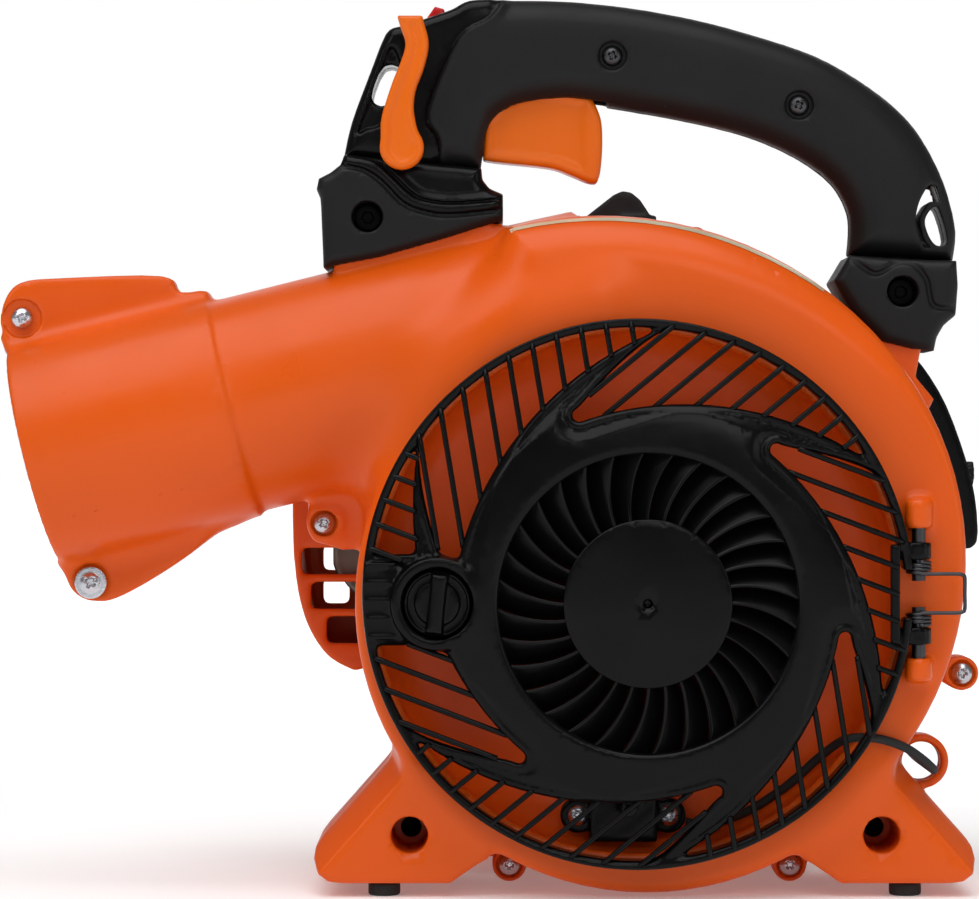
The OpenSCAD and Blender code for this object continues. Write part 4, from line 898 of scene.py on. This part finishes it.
def add_screws():
    meshes = planted(screw_mesh("screw", 4.2, 2.0, 11), SCREWS, 0.3)
    meshes += planted(screw_mesh("screw", 4.0, 2.0, 10), [(x, z, -37) for x, z in SWITCH_SCREWS], 0.5)
    add_fasteners("pan_screws", "screw_steel", meshes, ("case_screws",))
    meshes = planted(screw_mesh("screw", 5.1, 2.5, 16, 6.1), [(*CLAMP, -7.2)], 0.5)
    meshes += planted(nut_mesh(), [(*CLAMP, 6)])
    add_fasteners("clamp_bolt", "screw_steel", meshes, ("tube_clamp_bolt",))
    # The stand screws get near-black steel as painted shade of the deep holes they sit in.
    seats = [(AXIS_X + s * STAND_X, STAND_Z, STAND_SEAT) for s in (-1, 1)]
    meshes = planted(screw_mesh("screw", 4.0, 2.0, 11), seats, 0.1)
    add_fasteners("stand_screws", "black_steel", meshes)
    # The grip screws get dark steel, darker than their bright plated heads, as painted shade of their deep holes.
    seats = [(x, z, -GRIP_HALF + 3) for x, z in GRIP_SCREWS]
    meshes = planted(screw_mesh("screw", 4.0, 2.0, 22), seats, 0.4)
    add_fasteners("grip_screws", "dark_steel", meshes, ("handle_screws",))
    # The foot bolts get near-black steel as painted shade of the deep cups they sit in.
    meshes = planted(foot_bolt_mesh(), [(*LEFT_BOLT, 0), (*RIGHT_BOLT, 0)])
    add_fasteners("foot_bolts", "black_steel", meshes, ("handle_screws",))


# ---------- handle ----------

GRIP_HALF, FOOT_HALF = 16.0, 20.0
HANDLE_OUTER = [
    (-59, 275), (-55.9, 288.7), (-48.6, 308.4), (-44.3, 319.5), (-41.4, 323.7), (-36, 325.2), (-27.4, 328),
    (-18.2, 331.2), (-11.8, 334.4), (-0.2, 335), (22.8, 334.8), (48.2, 332.4), (73.7, 327.8), (93.8, 322.5),
    (119.3, 314), (139.4, 302.4), (153.9, 290.2), (163, 276.9), (169.1, 262.9), (172.6, 247.5),
    (171.4, 236.4),
]
HANDLE_INNER = [
    (131.7, 238.4), (132.4, 248.4), (131.5, 255.6), (126.5, 264.8), (117.2, 272.7), (104.1, 279.8),
    (87.8, 285.6), (63.5, 291), (34.2, 295.8), (22.8, 296.6), (9.7, 295.1), (2.3, 292.1), (-3, 287.2),
    (-5.1, 278.1), (-6.5, 270),
]
GRIP_SCREWS = [(42.2, 313.1), (112.4, 294.5)]
STRAP_LEFT = [(-43.6, 309.5), (-36.5, 307), (-42.5, 295), (-48.4, 297.5)]
STRAP_RIGHT = [(163, 256), (165.5, 255.6), (168.7, 243.8), (164.9, 241.9), (161.9, 245.4), (160.3, 251.4)]
# The nose is a glossy panel let into the grip. Its edge runs down from the top of the grip to the foot.
NOSE_EDGE = [
    (0.2, 345), (0.2, 332.8), (-4.2, 327.1), (-15.5, 319.2), (-27.1, 292.2), (-23, 281.7), (-22.2, 269.6),
    (-18, 262),
]
SLOT_RECESS_LEFT = [
    (-42.3, 315.3), (-39.6, 315.6), (-37.7, 311.1), (-36.2, 305.9), (-43.8, 288.5), (-49.8, 285.6),
    (-53.6, 284.8), (-47.5, 300.6),
]
SLOT_RECESS_RIGHT = [
    (162.7, 264.6), (158.7, 260.3), (156.7, 254.3), (156.7, 248.9), (159.1, 242.2), (163.1, 236.8),
    (167.1, 234.2), (171, 238), (171.2, 248), (168, 260),
]
LEFT_FOOT = [
    (-68.2, 266.7), (-69, 262.6), (-67.5, 259.2), (-66.4, 233), (-45, 237.1), (-22.5, 243.5), (1.1, 251),
    (1.1, 261.1), (-4, 263.3), (-6.6, 266.6), (-7, 271), (-58.5, 276), (-60, 272), (-63.5, 269.2),
]
RIGHT_FOOT = [
    (125.2, 228.3), (132.5, 216.1), (143.4, 205.3), (154.6, 202.6), (162.9, 201.9), (164, 207.1),
    (166.6, 211.6), (171.1, 215.4), (172, 226.6), (171.4, 236), (151.6, 236.5), (131, 238),
]
LEFT_GROOVE = [
    (-70, 273), (-58.9, 271.3), (-51, 269.6), (-44.4, 265.2), (-37, 257.7), (-29.7, 254.3), (-18, 252.8),
    (6, 255.4),
]
LEFT_COLLAR = [
    (-70, 278), (-56.9, 276), (-47, 273.5), (-40, 267.6), (-33, 261), (-27, 258.4), (-16, 257.5),
    (6, 259.4),
]
RIGHT_GROOVE = [
    (124, 242), (130.2, 237.9), (137.6, 232.2), (140.9, 230.9), (144.3, 232.2), (148.3, 234.9),
    (151.7, 235.5), (155.7, 233.9), (159.7, 228.8), (160.7, 224.1), (161.7, 220.1), (164.4, 218.1),
    (175, 217.8),
]
LEFT_BOLT, RIGHT_BOLT = (-49.8, 252.3), (150.9, 224.3)
CUP_R, CUP_DEPTH, HANDLE_SEAM = 7.0, 8.0, 0.12
STOP = (-24.5, 327.5, 19)
TRIGGER_X, _, TRIGGER_Z = in_mm(joint("trigger_pull")["pos_m"])
LOCK_X, _, LOCK_Z = in_mm(joint("lock_turn")["pos_m"])


def handle_flat(g):
    return polygon(spline(HANDLE_OUTER, 4) + spline(HANDLE_INNER, 4), g.x, g.z)


def nose_region(g):
    return polygon(spline(NOSE_EDGE[1:], 4) + [(-90, 262), (-90, 345), (0.2, 345)], g.x, g.z)


def handle_field(g):
    flat, nose = handle_flat(g), nose_region(g)
    in_nose = np.clip(0.5 - nose / 1.4, 0, 1)
    lip = 0.45 * np.exp(-((nose - 1.0) / 0.9) ** 2)
    half = GRIP_HALF - 0.45 + lip - 1.9 * in_nose
    half = half - 2.2 * np.clip(0.5 - area(g, SLOT_RECESS_LEFT, 3) / 1.2, 0, 1)
    edge = 12.5 - 7.5 * np.clip(0.5 - nose / 8, 0, 1)
    out = box_round(flat, np.abs(g.y) - half, edge)
    lens = area(g, SLOT_RECESS_RIGHT, 3)
    out = smax(out, -np.maximum(lens, 10.5 - np.abs(g.y)), 2)
    # At the tail the recess, 10.5 deep from the seam, is not kept clear of this hollow and opens into it.
    hollow = box_round(flat + 3.2, np.abs(g.y) - half + 3.0, 6)
    for x, z in GRIP_SCREWS:
        hollow = np.maximum(hollow, 7 - disc(g, x, z))
    for slot in (STRAP_LEFT, STRAP_RIGHT):
        hollow = np.maximum(hollow, 2.6 - area(g, slot))
    out = np.maximum(out, -hollow)
    cuts = [area(g, STRAP_LEFT, 3) + 0 * g.y,
            area(g, STRAP_RIGHT, 3) + 0 * g.y]
    for x, z in GRIP_SCREWS:
        cuts += [rod(g, x, z, 5.4, -30, -GRIP_HALF + 3, 0.8), rod(g, x, z, 2.1, -30, 13, 0.1)]
    for low_x, high_x, low_z, high_z in ((-1.5, 40.5, 285, 303), (-9, 8, 268, 296)):
        box = np.maximum(between(g.x, low_x, high_x), between(g.z, low_z, high_z))
        cuts.append(slab(g, box, -7.5, 7.5, 0.8))
    u, v = turned(g, *STOP)
    cuts.append(slab(g, np.maximum(np.abs(u) - 4.9, np.abs(v - 1) - 10), -4.4, 4.4, 0.4))
    cuts.append(slab(g, rectangle(g, -37.2, 280.5, 3.2, 5.5), 10, 20, 0.5))
    cuts.append(rod(g, LOCK_X, LOCK_Z, 4.05, -30, 0, 0.2))
    for cut in cuts:
        out = smax(out, -cut, 0.7)
    return out


def foot_field(g, outline, groove, waist=0.0):
    """A foot with a groove across its faces. A waist draws the faces in above its collar line."""
    half = FOOT_HALF - 0.15 - waist
    out = box_round(area(g, outline), np.abs(g.y) - half, 4.5)
    trench = line_distance(spline(groove, 5), g.x, g.z)
    return smax(out, -np.maximum(trench - 0.7, half - 1.6 - np.abs(g.y)), 1.4)


def with_cups(g, foot, pedestal, bolt):
    """The foot's shell over its pedestal, with the deep cups that hold the bolt's heads."""
    foot = np.maximum(foot, -slab(g, area(g, pedestal), -16, 16, 0.2))
    away = disc(g, *bolt)
    depth = np.abs(g.y)
    cup = np.maximum(away - CUP_R, np.maximum(depth - FOOT_HALF + 1, CUP_DEPTH - depth))
    foot = np.minimum(foot, cup)
    foot = smax(foot, -np.maximum(away - 5.8, CUP_DEPTH + 2 - depth), 0.8)
    return np.maximum(foot, 3.05 - away)


def add_handle():
    g = Grid((-64, -18, 232), (176, 18, 337), 0.8)
    field = handle_field(g)
    for side, name in ((1, "handle_front"), (-1, "handle_rear")):
        mesh = field_mesh(name + "_shell", g, np.maximum(field, side * g.y + HANDLE_SEAM), 0.03)
        piece = add_piece(name + "_shell", mesh, "grip_plastic", "housing", (name,))
        paint(piece, nose_region, "black_plastic")


def paint(piece, region_of, material):
    """Gives another material to the faces inside a region of the side view: another finish, or a brighter copy of
    the same plastic as painted light.
    """
    mesh = piece.data
    mesh.materials.append(M[material])
    centres = np.empty(len(mesh.polygons) * 3, np.float32)
    mesh.polygons.foreach_get("center", centres)
    spots = Points(centres.reshape(-1, 3) / MM)
    inside = region_of(spots) < -0.1
    mesh.polygons.foreach_set("material_index", inside.astype(np.int32))
    mesh.update()


def above_line(line, g):
    """Signed distance to the area over a line drawn from left to right, positive inside it."""
    return -polygon(spline(line, 4) + [(line[-1][0], 300), (line[0][0], 300)], g.x, g.z)


def add_feet():
    g = Grid((-71, -21, 230), (4, 21, 279), 0.6)
    over = above_line(LEFT_COLLAR, g)
    waist = 3.0 * np.clip((over + 1.2) / 5.0, 0, 1) ** 0.7
    field = foot_field(g, LEFT_FOOT, LEFT_GROOVE, waist)
    collar = line_distance(spline(LEFT_COLLAR, 5), g.x, g.z)
    field = smax(field, -np.maximum(collar - 0.5, FOOT_HALF - 1.8 - waist - np.abs(g.y)), 0.8)
    field = with_cups(g, field, LEFT_PEDESTAL, LEFT_BOLT)
    mesh = field_mesh("foot_left_shell", g, field)
    foot = add_piece("foot_left_shell", mesh, "grip_plastic", "housing", ("handle_foot_left",))
    paint(foot, lambda spots: -above_line(LEFT_GROOVE, spots), "black_plastic")
    g = Grid((123, -21, 200), (175, 21, 241), 0.7)
    field = foot_field(g, RIGHT_FOOT, RIGHT_GROOVE)
    field = with_cups(g, field, RIGHT_PEDESTAL, RIGHT_BOLT)
    mesh = field_mesh("foot_right_shell", g, field)
    add_piece("foot_right_shell", mesh, "grip_plastic", "housing", ("handle_foot_right",))


def add_trigger():
    shape = spline([(-6.5, 274.6), (0, 273.6), (18.5, 271.6), (26.8, 268.8), (34.1, 266), (37.4, 267.6),
                    (38.7, 278.1), (38.4, 289), (36.2, 295.4)], 4)
    shape += [(34, 299), (12, 303), (3, 305.5), (-2, 303), (-2.6, 296), (-6.5, 290)]
    g = Grid((-8, -8, 263), (41, 8, 308), 0.5)
    flat = area(g, shape)
    field = box_round(flat, np.abs(g.y) - 7, 2.4)
    # A shallow scoop in each side leaves a raised rim at the fingertip edge.
    pad = np.maximum(flat + 4.2, g.x - 31)
    field = smax(field, -np.minimum(slab(g, pad, -12, -6.4, 1), slab(g, pad, 6.4, 12, 1)), 2)
    field = np.maximum(field, -(disc(g, TRIGGER_X, TRIGGER_Z) - 2.05))
    mesh = field_mesh("trigger_lever", g, field)
    add_piece("trigger_lever", mesh, "trigger_plastic", "throttle_trigger", ("trigger",))


def add_lock():
    blade = [(-34.2, 329, 4.3), (-33.0, 324, 4.2), (-31, 316.7, 4.1), (-32.9, 308.5, 4.3), (-35.9, 301, 4.4),
             (-37.8, 292.5, 5.2), (-38.1, 285.7, 6.4), (-37, 279, 7)]
    g = Grid((-48, -27, 266), (-22, 1, 331), 0.45)
    flat = disc(g, LOCK_X, LOCK_Z) - 8.3
    for x, z, w in spline(blade, 5):
        flat = smin(flat, disc(g, x, z) - w, 1.0)
    flat = smax(flat, g.z - 327.2, 0.6)
    field = slab(g, flat, -25, -19, 2.0)
    field = smax(field, -slab(g, flat + 3.6, -30, -24.5, 1), 2.5)
    field = smin(field, rod(g, LOCK_X, LOCK_Z, 4, -21, -1, 0.4), 0.8)
    add_piece("lock_blade", field_mesh("lock_blade", g, field), "trigger_plastic", "lock", ("lock_lever",))


def add_stop():
    g = Grid((-34, -5, 316), (-15, 5, 336), 0.35)
    u, v = turned(g, *STOP)
    head = polygon([(-4.5, -4.5), (4.5, -4.5), (4.5, 3.2), (1.6, 5.2), (-4.5, 0.8)], u, v)
    field = slab(g, head, -4, 4, 0.9)
    stem = np.maximum(np.abs(u) - 3, np.abs(v + 6) - 2)
    field = np.minimum(field, slab(g, stem, -3, 3, 0.2))
    add_piece("stop_button", field_mesh("stop_button", g, field), "red_plastic", "stop", ("stop_switch",))


# ---------- softened castings and mouldings ----------

SUBPARTS = {s["node"]: s["material_slot"] for s in frame["record"]["subparts"]}
BODY_OF = {n: body for body, nodes in frame["record"]["behaviour"]["bodies"].items() for n in nodes}


def solid_field(node, step, margin=4):
    """A CAD node's own signed distance, sampled on a grid."""
    mesh = frame["nodes"][node].data
    mesh.calc_loop_triangles()
    points = np.empty(len(mesh.vertices) * 3, np.float32)
    mesh.vertices.foreach_get("co", points)
    points = points.reshape(-1, 3) / MM
    triangles = np.empty(len(mesh.loop_triangles) * 3, np.int32)
    mesh.loop_triangles.foreach_get("vertices", triangles)
    low = np.floor(points.min(0) / step) * step - margin * step
    shape = np.ceil((points.max(0) - low) / step).astype(int) + margin + 1
    vdb = openvdb.FloatGrid.createLevelSetFromPolygons(
        ((points - low) / step).astype(np.float32), triangles=triangles.reshape(-1, 3).astype(np.uint32),
        transform=openvdb.createLinearTransform(voxelSize=1.0), halfWidth=float(margin))
    field = np.empty(tuple(shape), np.float32)
    vdb.copyToArray(field)
    return field * step, low


def blurred(field, rounds):
    for _ in range(rounds):
        for axis in range(3):
            field = (np.roll(field, 1, axis) + 2 * field + np.roll(field, -1, axis)) * 0.25
    return field


class Box:
    """What field_mesh needs of a grid."""

    def __init__(self, low, step, shape):
        self.low, self.step, self.shape = np.array(low, float) - np.array([0, MID_Y, 0]), step, shape


def soften(node, step, rounds=2, adaptivity=0.03):
    """Replaces a CAD node by itself with its edges worn round, as a moulding or casting has them."""
    field, low = solid_field(node, step)
    mesh = field_mesh(node + "_moulded", Box(low, step, field.shape), blurred(field, rounds), adaptivity)
    add_piece(node + "_moulded", mesh, SUBPARTS[node], BODY_OF[node], (node,))


SOFTENED = {
    "engine_shroud": 0.9, "muffler_guard": 0.8, "starter_housing": 0.8, "filter_cover": 0.8,
    "filter_base": 0.8, "fuel_tank": 0.9, "rear_stand": 0.8, "fuel_cap": 0.5, "crankcase_front": 0.8,
    "crankcase_rear": 0.8, "carburetor": 0.6, "cylinder": 0.6, "muffler": 0.8, "plug_boot": 0.5,
    "starter_grip": 0.5, "interlock_switch": 0.5, "choke_lever": 0.4, "rubber_feet": 0.5,
    "ignition_coil": 0.6, "filter_knob": 0.35, "primer_bulb": 0.4, "carb_insulator": 0.6,
}


def add_castings():
    for node, step in SOFTENED.items():
        soften(node, step)


# ---------- wires ----------

def arc(centre, radius, start, stop, steps):
    """Points (x, y) round an axis parallel to Z."""
    x, y = centre
    turns = np.linspace(math.radians(start), math.radians(stop), steps)
    return [(x + radius * math.cos(a), y + radius * math.sin(a)) for a in turns]


def add_spring():
    coil_r, wire = 4.1, 0.72
    centre = (HINGE_X, HINGE_Y)
    turns = arc(centre, coil_r, -90, -90 + 3 * 360, 73)
    upper = [(x, y, 124 - 4.0 * i / 72) for i, (x, y) in enumerate(turns)]
    lower = [(x, y, 100.9 + 4.0 * i / 72) for i, (x, y) in enumerate(turns)]
    depth = HINGE_Y - coil_r
    corners = [(154, 119.6), (166, 119.6), (168.6, 119.2), (169.4, 118), (169.4, 112.5), (169.4, 107),
               (168.6, 105.8), (166, 105.4), (154, 105.4)]
    path = upper + [(x, depth, z) for x, z in spline(corners, 5)] + lower[::-1]
    mesh = tube_mesh("spring_wire", path, wire)
    add_piece("spring_wire", mesh, SUBPARTS["hinge_spring"], replaced=("hinge_spring",))


LEAD_ROUTE = [
    (68.9, -35, 27), (78, -34, 26), (92, -33, 31), (106, -33, 40), (117, -35, 50), (123.5, -41, 56),
    (127.5, -47.9, 58.8), (134, -49.3, 59.4), (141, -49, 58.4), (149, -48.8, 55.4), (156, -46, 50.5),
    (160.3, -38, 46.6), (160.5, -20, 46.4), (160.5, 0, 46.4), (160.5, 30, 46.6), (158, 48, 50),
    (148, 57, 59), (128, 62, 75), (106, 62, 93), (89, 62, 106),
]
FUEL_ROUTE = [
    (92, 78, 22), (92, 78, 58), (93, 78, 84), (95, 78, 108), (98, 77, 124), (100.5, 75, 135),
    (101, 74, 142), (101, 74, 145.5), (101, 74, 147.9),
]
THROTTLE_ROUTE = [
    (-38, 8, 291), (-38, 11, 284), (-37, 19, 277.5), (-36, 24.4, 269), (-35, 26, 257), (-34, 30, 243),
    (-32, 42, 231), (-22, 49, 221), (-5, 49.4, 212), (20, 49.6, 205), (60, 49.6, 202), (88, 49.6, 199),
    (98, 49.7, 191), (102, 49.7, 181), (102, 49.7, 170),
]


def add_cables():
    for name, route, radius in (("interlock_lead", LEAD_ROUTE, 1.65), ("fuel_line", FUEL_ROUTE, 2.35),
                                ("throttle_cable", THROTTLE_ROUTE, 1.85)):
        mesh = tube_mesh(name + "_tube", spline(route, 8), radius, 14)
        add_piece(name + "_tube", mesh, SUBPARTS[name], replaced=(name,))


# ---------- plain CAD nodes ----------

def dress_nodes():
    for name, obj in frame["nodes"].items():
        obj.data.materials.clear()
        obj.data.materials.append(M[SUBPARTS[name]])


# ---------- studio ----------

def add_floor():
    size = 30.0
    mesh = bpy.data.meshes.new("floor")
    corners = [(-size, -size, 0), (size, -size, 0), (size, size, 0), (-size, size, 0)]
    mesh.from_pydata(corners, [], [(0, 1, 2, 3)])
    floor = add_object("floor", mesh)
    n = Nodes("floor", (0.94, 0.94, 0.94), 0.6)
    n.tint(n.span(n.noise(2, 3), 0, 1), (0.93, 0.93, 0.93), (0.95, 0.95, 0.95))
    # Far from the object the paper is lit from below, so that it meets the background without a line.
    far = n.add("ShaderNodeVectorMath", operation="LENGTH")
    n.link(n.place, far.inputs[0])
    n.link(n.span(far.outputs["Value"], 0.16, 0.5, 0.6, 2.4), n.shader.inputs["Emission Strength"])
    n.shader.inputs["Emission Color"].default_value = (1, 1, 1, 1)
    mesh.materials.append(n.material)


def area_light(name, place, target, size, power):
    data = bpy.data.lights.new(name, "AREA")
    data.shape = "RECTANGLE"
    data.size, data.size_y = size
    data.energy = power
    lamp = add_object(name, data)
    lamp.location = place
    way = Vector(target) - Vector(place)
    lamp.rotation_euler = way.to_track_quat("-Z", "Y").to_euler()


def overhead_light(strength):
    data = bpy.data.lights.new("overhead", "SUN")
    data.energy = strength
    data.angle = math.radians(60)
    lamp = add_object("overhead", data)
    lamp.rotation_euler = (math.radians(18), math.radians(-8), 0)


def add_lights():
    middle = (0, MID_Y * MM, 0.16)
    area_light("key", (-1.5, -1.2, 1.3), middle, (0.7, 0.7), 4.6)
    area_light("front", (0.35, -1.5, 0.85), middle, (0.7, 0.5), 2.9)
    area_light("fill", (1.7, -0.9, 0.5), middle, (0.4, 1.2), 2.6)
    area_light("back", (0.2, 1.8, 0.9), middle, (1.8, 1.2), 6)
    overhead_light(2.15)
    world = bpy.data.worlds.new("studio")
    world.use_nodes = True
    tree = world.node_tree
    tree.nodes["Background"].inputs["Strength"].default_value = 0.16
    # The paper behind the object is brighter than the room that lights it.
    paper = tree.nodes.new("ShaderNodeBackground")
    paper.inputs["Strength"].default_value = 1.0
    for node in (tree.nodes["Background"], paper):
        node.inputs["Color"].default_value = (1, 1, 1, 1)
    choice = tree.nodes.new("ShaderNodeMixShader")
    tree.links.new(tree.nodes.new("ShaderNodeLightPath").outputs["Is Camera Ray"], choice.inputs[0])
    tree.links.new(tree.nodes["Background"].outputs[0], choice.inputs[1])
    tree.links.new(paper.outputs[0], choice.inputs[2])
    tree.links.new(choice.outputs[0], tree.nodes["World Output"].inputs["Surface"])
    bpy.context.scene.world = world
    bpy.context.scene.view_settings.view_transform = "Standard"


# ---------- assembly ----------

add_camera()
dress_nodes()
add_case()
add_label()
add_cover()
add_latch()
add_handle()
add_screws()
add_feet()
add_trigger()
add_lock()
add_stop()
add_castings()
add_spring()
add_cables()
add_floor()
add_lights()
